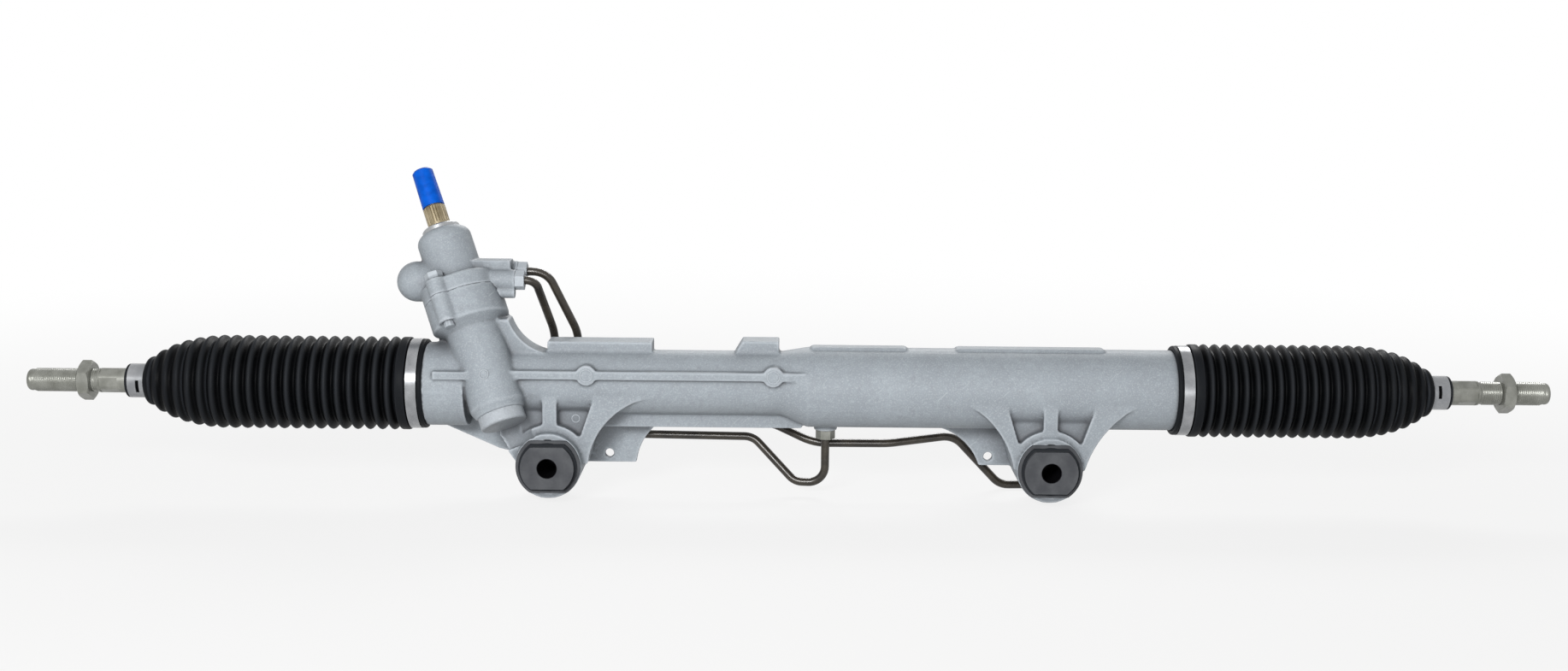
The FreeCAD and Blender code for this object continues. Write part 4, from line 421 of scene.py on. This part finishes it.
surfaces = {
    "cast_aluminium": cast_aluminium(),
    # the tower's end plug, painted over like the casting; this copy is darker to paint the shade it lies in
    "dark_steel": cast_aluminium("shaded_plug_paint", (0.115, 0.122, 0.130), (0.160, 0.168, 0.178)),
    "bare_steel": metal("machined_steel", (0.30, 0.31, 0.32), (0.40, 0.41, 0.42), (0.24, 0.40), Metallic=1.0),
    "zinc_steel": metal(
        "zinc_plated_steel", (0.165, 0.168, 0.148), (0.25, 0.254, 0.23), (0.24, 0.38), Metallic=0.32),
    "clamp_steel": metal(
        "stainless_band", (0.22, 0.228, 0.24), (0.31, 0.318, 0.33), (0.16, 0.30), ALONG, Metallic=0.35),
    "golden_steel": metal(
        "yellow_plated_steel", (0.19, 0.152, 0.09), (0.31, 0.26, 0.17), (0.30, 0.5), EVEN, 2.5, Metallic=0.5),
    "pipe_steel": metal(
        "olive_coated_pipe", (0.016, 0.013, 0.010), (0.035, 0.029, 0.021), (0.20, 0.34), EVEN, 5, Metallic=0.1),
    # the bushings' phosphated steel, with painted shade in its bolt holes
    "bushing_steel": metal(
        "phosphated_steel", (0.072, 0.075, 0.082), (0.100, 0.104, 0.111), (0.42, 0.6), EVEN, 1.5, True,
        Specular_IOR_Level=0.0),
    "bearing_bronze": metal("bearing_bronze", (0.47, 0.31, 0.17), (0.58, 0.40, 0.24), Metallic=1.0),
    "black_rubber": black_rubber(),
    "ring_plastic": ring_plastic(),
    "blue_plastic": blue_plastic(),
}
PAINTED_OVER = ("valve_housing_bolts", "valve_pipe_nuts")      # finished with the casting


def dress_nodes():
    """Gives each CAD node the finish that its slots name."""
    for name, node in frame["nodes"].items():
        for place, own in zip(node.material_slots, list(node.data.materials)):
            slot = "cast_aluminium" if name in PAINTED_OVER else own.name.split(".")[0]
            place.link = "OBJECT"
            place.material = surfaces[slot].material


# ---------------------------------------------------------------- meshes

def new_piece(name, mesh, slot, body=None):
    """A smooth object made of mesh, finished as the slot says, and riding on body if there is one."""
    mesh.name = name
    mesh.materials.clear()
    mesh.materials.append(surfaces[slot].material)
    mesh.shade_smooth()
    piece = bpy.data.objects.new(name, mesh)
    bpy.context.scene.collection.objects.link(piece)
    if body:
        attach(piece, body)
    return piece


def rack_place(side, s):
    """X in metres, at rest, of a place s mm along the rack from its middle."""
    return (SIDES[side] * s - REST_OFFSET) * MM


def turned_mesh(side, profile, segments, closed, sections=None):
    """A mesh turned round the rack's axis from (place, radius) in mm. closed joins the last to the first.

    sections gives a factor for the radius at a place, angles and radius."""
    around = np.arange(segments) * 2 * math.pi / segments
    rows = []
    for s, radius in profile:
        factor = np.ones(segments) if sections is None else sections(s, around, radius)
        x = np.full(segments, rack_place(side, s))
        y = radius * MM * factor * np.sin(around)
        z = RACK_HEIGHT + radius * MM * factor * np.cos(around)
        rows.append(np.stack([x, y, z], 1))
    count = len(profile)
    faces = []
    for row in range(count if closed else count - 1):
        low = row * segments
        high = (row + 1) % count * segments
        for k in range(segments):
            after = (k + 1) % segments
            faces.append((low + k, low + after, high + after, high + k))
    mesh = bpy.data.meshes.new("turned")
    mesh.from_pydata(np.concatenate(rows).tolist(), [], faces)
    work = bmesh.new()
    work.from_mesh(mesh)
    bmesh.ops.remove_doubles(work, verts=work.verts, dist=1e-7)
    bmesh.ops.holes_fill(work, edges=[e for e in work.edges if e.is_boundary], sides=0)
    bmesh.ops.recalc_face_normals(work, faces=work.faces)
    work.to_mesh(mesh)
    work.free()
    mesh.update()
    return mesh


def arc(centre, radius, start, end, steps):
    """(place, radius) on an arc round centre, in mm and degrees: 0 points along the rack, 90 off its axis."""
    angles = np.radians(np.linspace(start, end, steps))
    return [(centre[0] + radius * math.cos(a), centre[1] + radius * math.sin(a)) for a in angles]


# ---------------------------------------------------------------- rubber boots

def crest_radius(s):
    """The folds' outer radius: full along the tube, then rounding over towards the tie rod."""
    if s <= BOOT_TURN_START:
        return BOOT_RADIUS
    return BOOT_RADIUS * math.sqrt(max(0.0, 1 - ((s - BOOT_TURN_START) / BOOT_TURN_LENGTH) ** 2))


def folds_outline(first, start, pitch, count):
    """A closed outline of count folds from the first on: out along the outside, back along the inside."""
    outside = []
    flatten_start = BOOT_TURN_START - FLATTEN_BEFORE_TURN
    for step in range(count * STEPS_A_FOLD + 1):
        s = start + (first + step / STEPS_A_FOLD) * pitch
        flattened = max(0.0, min(1.0, (s - flatten_start) / (BOOT_FOLDS_END - flatten_start)))
        depth = FOLD_DEPTH + (LAST_FOLD_DEPTH - FOLD_DEPTH) * flattened
        wave = (0.5 - 0.5 * math.cos(2 * math.pi * step / STEPS_A_FOLD)) ** CREST_SHARPNESS
        outside.append((s, crest_radius(s) - depth * (1 - wave)))
    return outside + [(s, radius - BOOT_WALL) for s, radius in reversed(outside)]


def add_boot(side):
    """The cuff on the housing, three lengths of folds, and the neck on the tie rod."""
    def add(part, outline, body=None):
        mesh = turned_mesh(side, outline, BOOT_SEGMENTS, True)
        piece = new_piece(f"{side}_boot_{part}", mesh, "black_rubber", body)
        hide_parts(side + "_boot")
        return piece

    seat, rod = side + "_ball_seat", side + "_tie_rod"
    shift = REST_OFFSET * SIDES[side]              # from a fixed place to the same one along the rack
    face = BOOT_CUFF_FACE + shift
    start = BOOT_FOLDS_START + shift
    valley = BOOT_RADIUS - FOLD_DEPTH
    cuff = arc((face + 1.4, 32.9), 1.4, 180, 90, 5) + arc((face + 2.4, 33.3), 1.0, 90, 15, 4)      # its lip
    cuff += [(face + 3.6, CLAMP_SEAT), (face + 12.6, CLAMP_SEAT)]
    cuff += arc((face + 13.9, 34.3), 1.3, 180, 90, 4) + arc((start - 2.4, 34.2), 1.4, 90, 0, 4)    # its bead
    cuff += [(start - 0.6, valley + 0.8), (start, valley), (start, valley - BOOT_WALL)]
    cuff += [(start - 3, CUFF_BORE), (face, CUFF_BORE)]
    add("cuff", cuff, "housing")

    pitch = (BOOT_FOLDS_END - start) / FOLDS
    to_rack = int((STRAIGHT_END - start) / pitch)
    to_seat = to_rack + SEATED_FOLDS
    lengths = ((0, to_rack, "housing", "rack"), (to_rack, to_seat, "rack", seat), (to_seat, FOLDS, seat, rod))
    for number, (first, last, before, after) in enumerate(lengths):
        piece = add(f"folds_{number + 1}", folds_outline(first, start, pitch, last - first))
        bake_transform(piece)

    end = crest_radius(BOOT_FOLDS_END) - LAST_FOLD_DEPTH
    neck = [(BOOT_FOLDS_END, end), (BOOT_FOLDS_END + 1.6, end + 0.6)]
    neck += arc((BOOT_FOLDS_END + 1.8, 14.5), end - 13.9, 90, 20, 7)
    neck += [(492.5, 12.2), (493.2, NECK_RADIUS), (504.8, NECK_RADIUS)]
    neck += arc((506.2, 11.8), 1.1, 150, 0, 6)
    neck += [(BOOT_NECK_END, NECK_BORE), (490, NECK_BORE), (BOOT_FOLDS_END, end - BOOT_WALL)]
    add("neck", neck, rod)


# ---------------------------------------------------------------- tie rods

def flats_factor(s, around, radius):
    """The factor that cuts the round bar to a hexagon between the ends of its flats."""
    if not FLATS[0] < s < FLATS[1]:
        return np.ones(len(around))
    turn = np.mod(around, math.pi / 3) - math.pi / 6
    return np.minimum(1.0, FLATS_ACROSS / 2 / np.cos(turn) / radius)


def add_tie_rod(side):
    """The ball with its bar, and the thread. Edges sharper than each part's angle stay sharp."""
    body = side + "_tie_rod"
    ball = [(TIE_ROD_BALL - BALL_RADIUS + 0.001, 0.05)] + arc((TIE_ROD_BALL, 0), BALL_RADIUS, 178, 34.5, 22)
    bar = turned_mesh(side, ball + list(ROD_PROFILE), 72, False, flats_factor)
    for part, mesh, sharp in (("_bar", bar, 24), ("_thread", thread_mesh(side), 75)):
        piece = new_piece(body + part, mesh, "zinc_steel", body)
        piece.data.set_sharp_from_angle(angle=math.radians(sharp))
        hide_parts(body)


def thread_mesh(side):
    """A real helical thread from the wrench flats to the rod's rounded tip, on its core."""
    segments = 48
    root = THREAD_RADIUS - THREAD_DEPTH
    shape = ((0.0, 0.0), (0.10, 0.0), (0.46, 1.0), (0.60, 1.0), (0.95, 0.0))   # shares of pitch and depth
    total = int((THREAD_END - THREAD_START) / THREAD_PITCH) * segments
    points = []
    for step in range(total + 1):
        angle = 2 * math.pi * step / segments
        fade = min(1.0, step / segments, (total - step) / segments)
        for share, height in shape:
            x = rack_place(side, THREAD_START + (step / segments + share) * THREAD_PITCH)
            radius = (root + THREAD_DEPTH * height * fade) * MM
            points.append((x, radius * math.sin(angle), RACK_HEIGHT + radius * math.cos(angle)))
    width = len(shape)
    faces = []
    for step in range(total):
        for k in range(width - 1):
            low = step * width + k
            faces.append((low, low + 1, low + width + 1, low + width))
        if step + segments <= total:               # the strip between this turn and the next
            low = step * width + width - 1
            high = (step + segments) * width
            corners = (low, high, high + width, low + width)
            faces.append(corners if step + segments < total else (low, high, low + width))
    mesh = bpy.data.meshes.new("thread")
    mesh.from_pydata(points, [], faces)
    core = [(THREAD_START - 0.2, 0.05), (THREAD_START, root + 0.04), (THREAD_END + 1.2, root + 0.04)]
    core += [(THREAD_END + 1.4, 8.3), (THREAD_END + 2.4, 8.25)]
    core += arc((ROD_TIP - 2.2, 6.0), 2.2, 80, 0, 6) + [(ROD_TIP, 0.05)]
    joined = bmesh.new()
    joined.from_mesh(mesh)
    joined.from_mesh(turned_mesh(side, core, segments, False))
    bmesh.ops.recalc_face_normals(joined, faces=joined.faces)
    joined.to_mesh(mesh)
    joined.free()
    return mesh


# ---------------------------------------------------------------- castings

def applied(piece):
    """Makes the piece's modifiers real."""
    graph = bpy.context.evaluated_depsgraph_get()
    made = bpy.data.meshes.new_from_object(piece.evaluated_get(graph))
    old = piece.data
    piece.modifiers.clear()
    piece.data = made
    bpy.data.meshes.remove(old)


def fill_corners(mesh, voxel, fillet, rounds, spare):
    """Moves points outwards where the surface is hollow, until each inner corner has the fillet's radius.

    voxel and fillet are in mm. spare lists (centre, radius) of places that keep their shape."""
    count = len(mesh.vertices)
    place = np.empty(count * 3)
    mesh.vertices.foreach_get("co", place)
    place = place.reshape(-1, 3) / MM
    edges = np.empty(len(mesh.edges) * 2, int)
    mesh.edges.foreach_get("vertices", edges)
    a, b = edges.reshape(-1, 2).T
    ends = np.concatenate([a, b])
    others = np.concatenate([b, a])
    degree = np.maximum(np.bincount(ends, minlength=count), 1)
    corners = [tuple(face.vertices) for face in mesh.polygons]
    faces = np.array([own[:4] if len(own) > 3 else (*own, own[0]) for own in corners])

    def pull():
        """From each point to the middle of its neighbours."""
        sums = [np.bincount(ends, place[others, k], minlength=count) for k in range(3)]
        return np.stack(sums, 1) / degree[:, None] - place

    def outward():
        """The surface's direction at each point."""
        p = place[faces]
        across = np.cross(p[:, 2] - p[:, 0], p[:, 3] - p[:, 1])
        sums = [np.bincount(faces.ravel(), np.repeat(across[:, k], 4), minlength=count) for k in range(3)]
        total = np.stack(sums, 1)
        return total / np.maximum(np.linalg.norm(total, axis=1), 1e-12)[:, None]

    def smooth(steps, back):
        """Evens the steps that voxels leave. Every second step goes back, so that nothing shrinks."""
        for step in range(steps):
            place[...] += (0.5 if step % 2 == 0 else -back) * pull()

    smooth(4, 0.52)
    keep = np.ones(count)
    for centre, radius in spare:
        keep[np.linalg.norm(place - np.array(centre), axis=1) < radius] = 0
    least = voxel ** 2 / (2 * fillet)              # how hollow a corner with this fillet is
    for step in range(rounds):
        move = pull()
        normal = outward()
        wanted = np.clip((move * normal).sum(1) - least, 0, None) * keep
        for spread in range(2):
            wanted = 0.5 * wanted + 0.5 * np.bincount(ends, wanted[others], minlength=count) / degree
        place += (0.9 * wanted)[:, None] * normal
    smooth(6, 0.5)
    mesh.vertices.foreach_set("co", (place * MM).ravel())
    mesh.update()


def add_casting(node, voxel, fillet, rounds, faces, spare=()):
    """Stands for a cast node: the same shape with the soft corners that sand and paint give it.

    faces is the most triangles that it may have."""
    piece = bpy.data.objects.new(node + "_casting", frame["nodes"][node].data.copy())
    bpy.context.scene.collection.objects.link(piece)
    voxels = piece.modifiers.new("voxels", "REMESH")
    voxels.mode = "VOXEL"
    voxels.voxel_size = voxel * MM
    applied(piece)
    fill_corners(piece.data, voxel, fillet, rounds, spare)
    triangles = len(piece.data.polygons) * 2
    if triangles > faces:
        fewer = piece.modifiers.new("fewer", "DECIMATE")
        fewer.ratio = faces / triangles
        applied(piece)
    piece.data.materials.clear()
    piece.data.materials.append(surfaces["cast_aluminium"].material)
    piece.data.shade_smooth()
    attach(piece, "housing")
    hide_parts(node)
    return piece


def add_rings(casting):
    """The raised rings that the mould's pins and pads leave on the front of casting."""
    rings = bmesh.new()
    around, across = 40, 10
    for x, z, radius in RINGS:
        viewer = Vector((x * MM, -0.2, z * MM))
        place, normal = casting.ray_cast(viewer, Vector((0, 1, 0)))[1:3]
        aim = Matrix.Translation(place) @ normal.to_track_quat("Z", "Y").to_matrix().to_4x4()
        rows = []
        for step in range(around):
            angle = 2 * math.pi * step / around
            out = Vector((math.cos(angle), math.sin(angle), 0))
            row = []
            for k in range(across):
                turn = 2 * math.pi * k / across
                height = RING_HALF_HEIGHT * math.sin(turn) + RING_RISE
                point = out * (radius + RING_HALF_WIDTH * math.cos(turn)) + Vector((0, 0, height))
                row.append(rings.verts.new(aim @ (point * MM)))
            rows.append(row)
        for step in range(around):
            low, high = rows[step], rows[(step + 1) % around]
            for k in range(across):
                after = (k + 1) % across
                rings.faces.new((low[k], high[k], high[after], low[after]))
    bmesh.ops.recalc_face_normals(rings, faces=rings.faces)
    mesh = bpy.data.meshes.new("rings")
    rings.to_mesh(mesh)
    rings.free()
    new_piece("casting_rings", mesh, "cast_aluminium", "housing")


# ---------------------------------------------------------------- the scene

add_camera()
add_world()
add_floor(cad_box[0][2])
add_lamp("key", (-0.55, -1.60, 0.75), (-0.03, 0, 0.06), (0.6, 0.4), 24)
add_lamp("front", (0.1, -1.9, 0.25), (0, 0, 0.06), (1.0, 0.4), 14)
add_lamp("fill", (1.5, -1.1, 0.5), (0.1, 0, 0.05), (0.9, 0.9), 1.5)
add_lamp("back", (0.2, 1.50, 1.15), (0, 0, 0.06), (1.2, 0.5), 24)
dress_nodes()
for side in SIDES:
    add_boot(side)
    add_tie_rod(side)
add_rings(add_casting("rack_housing", 1.1, 5.0, 40, 130000, PLATE_HOLES))
add_casting("valve_housing", 0.8, 3.0, 30, 60000)
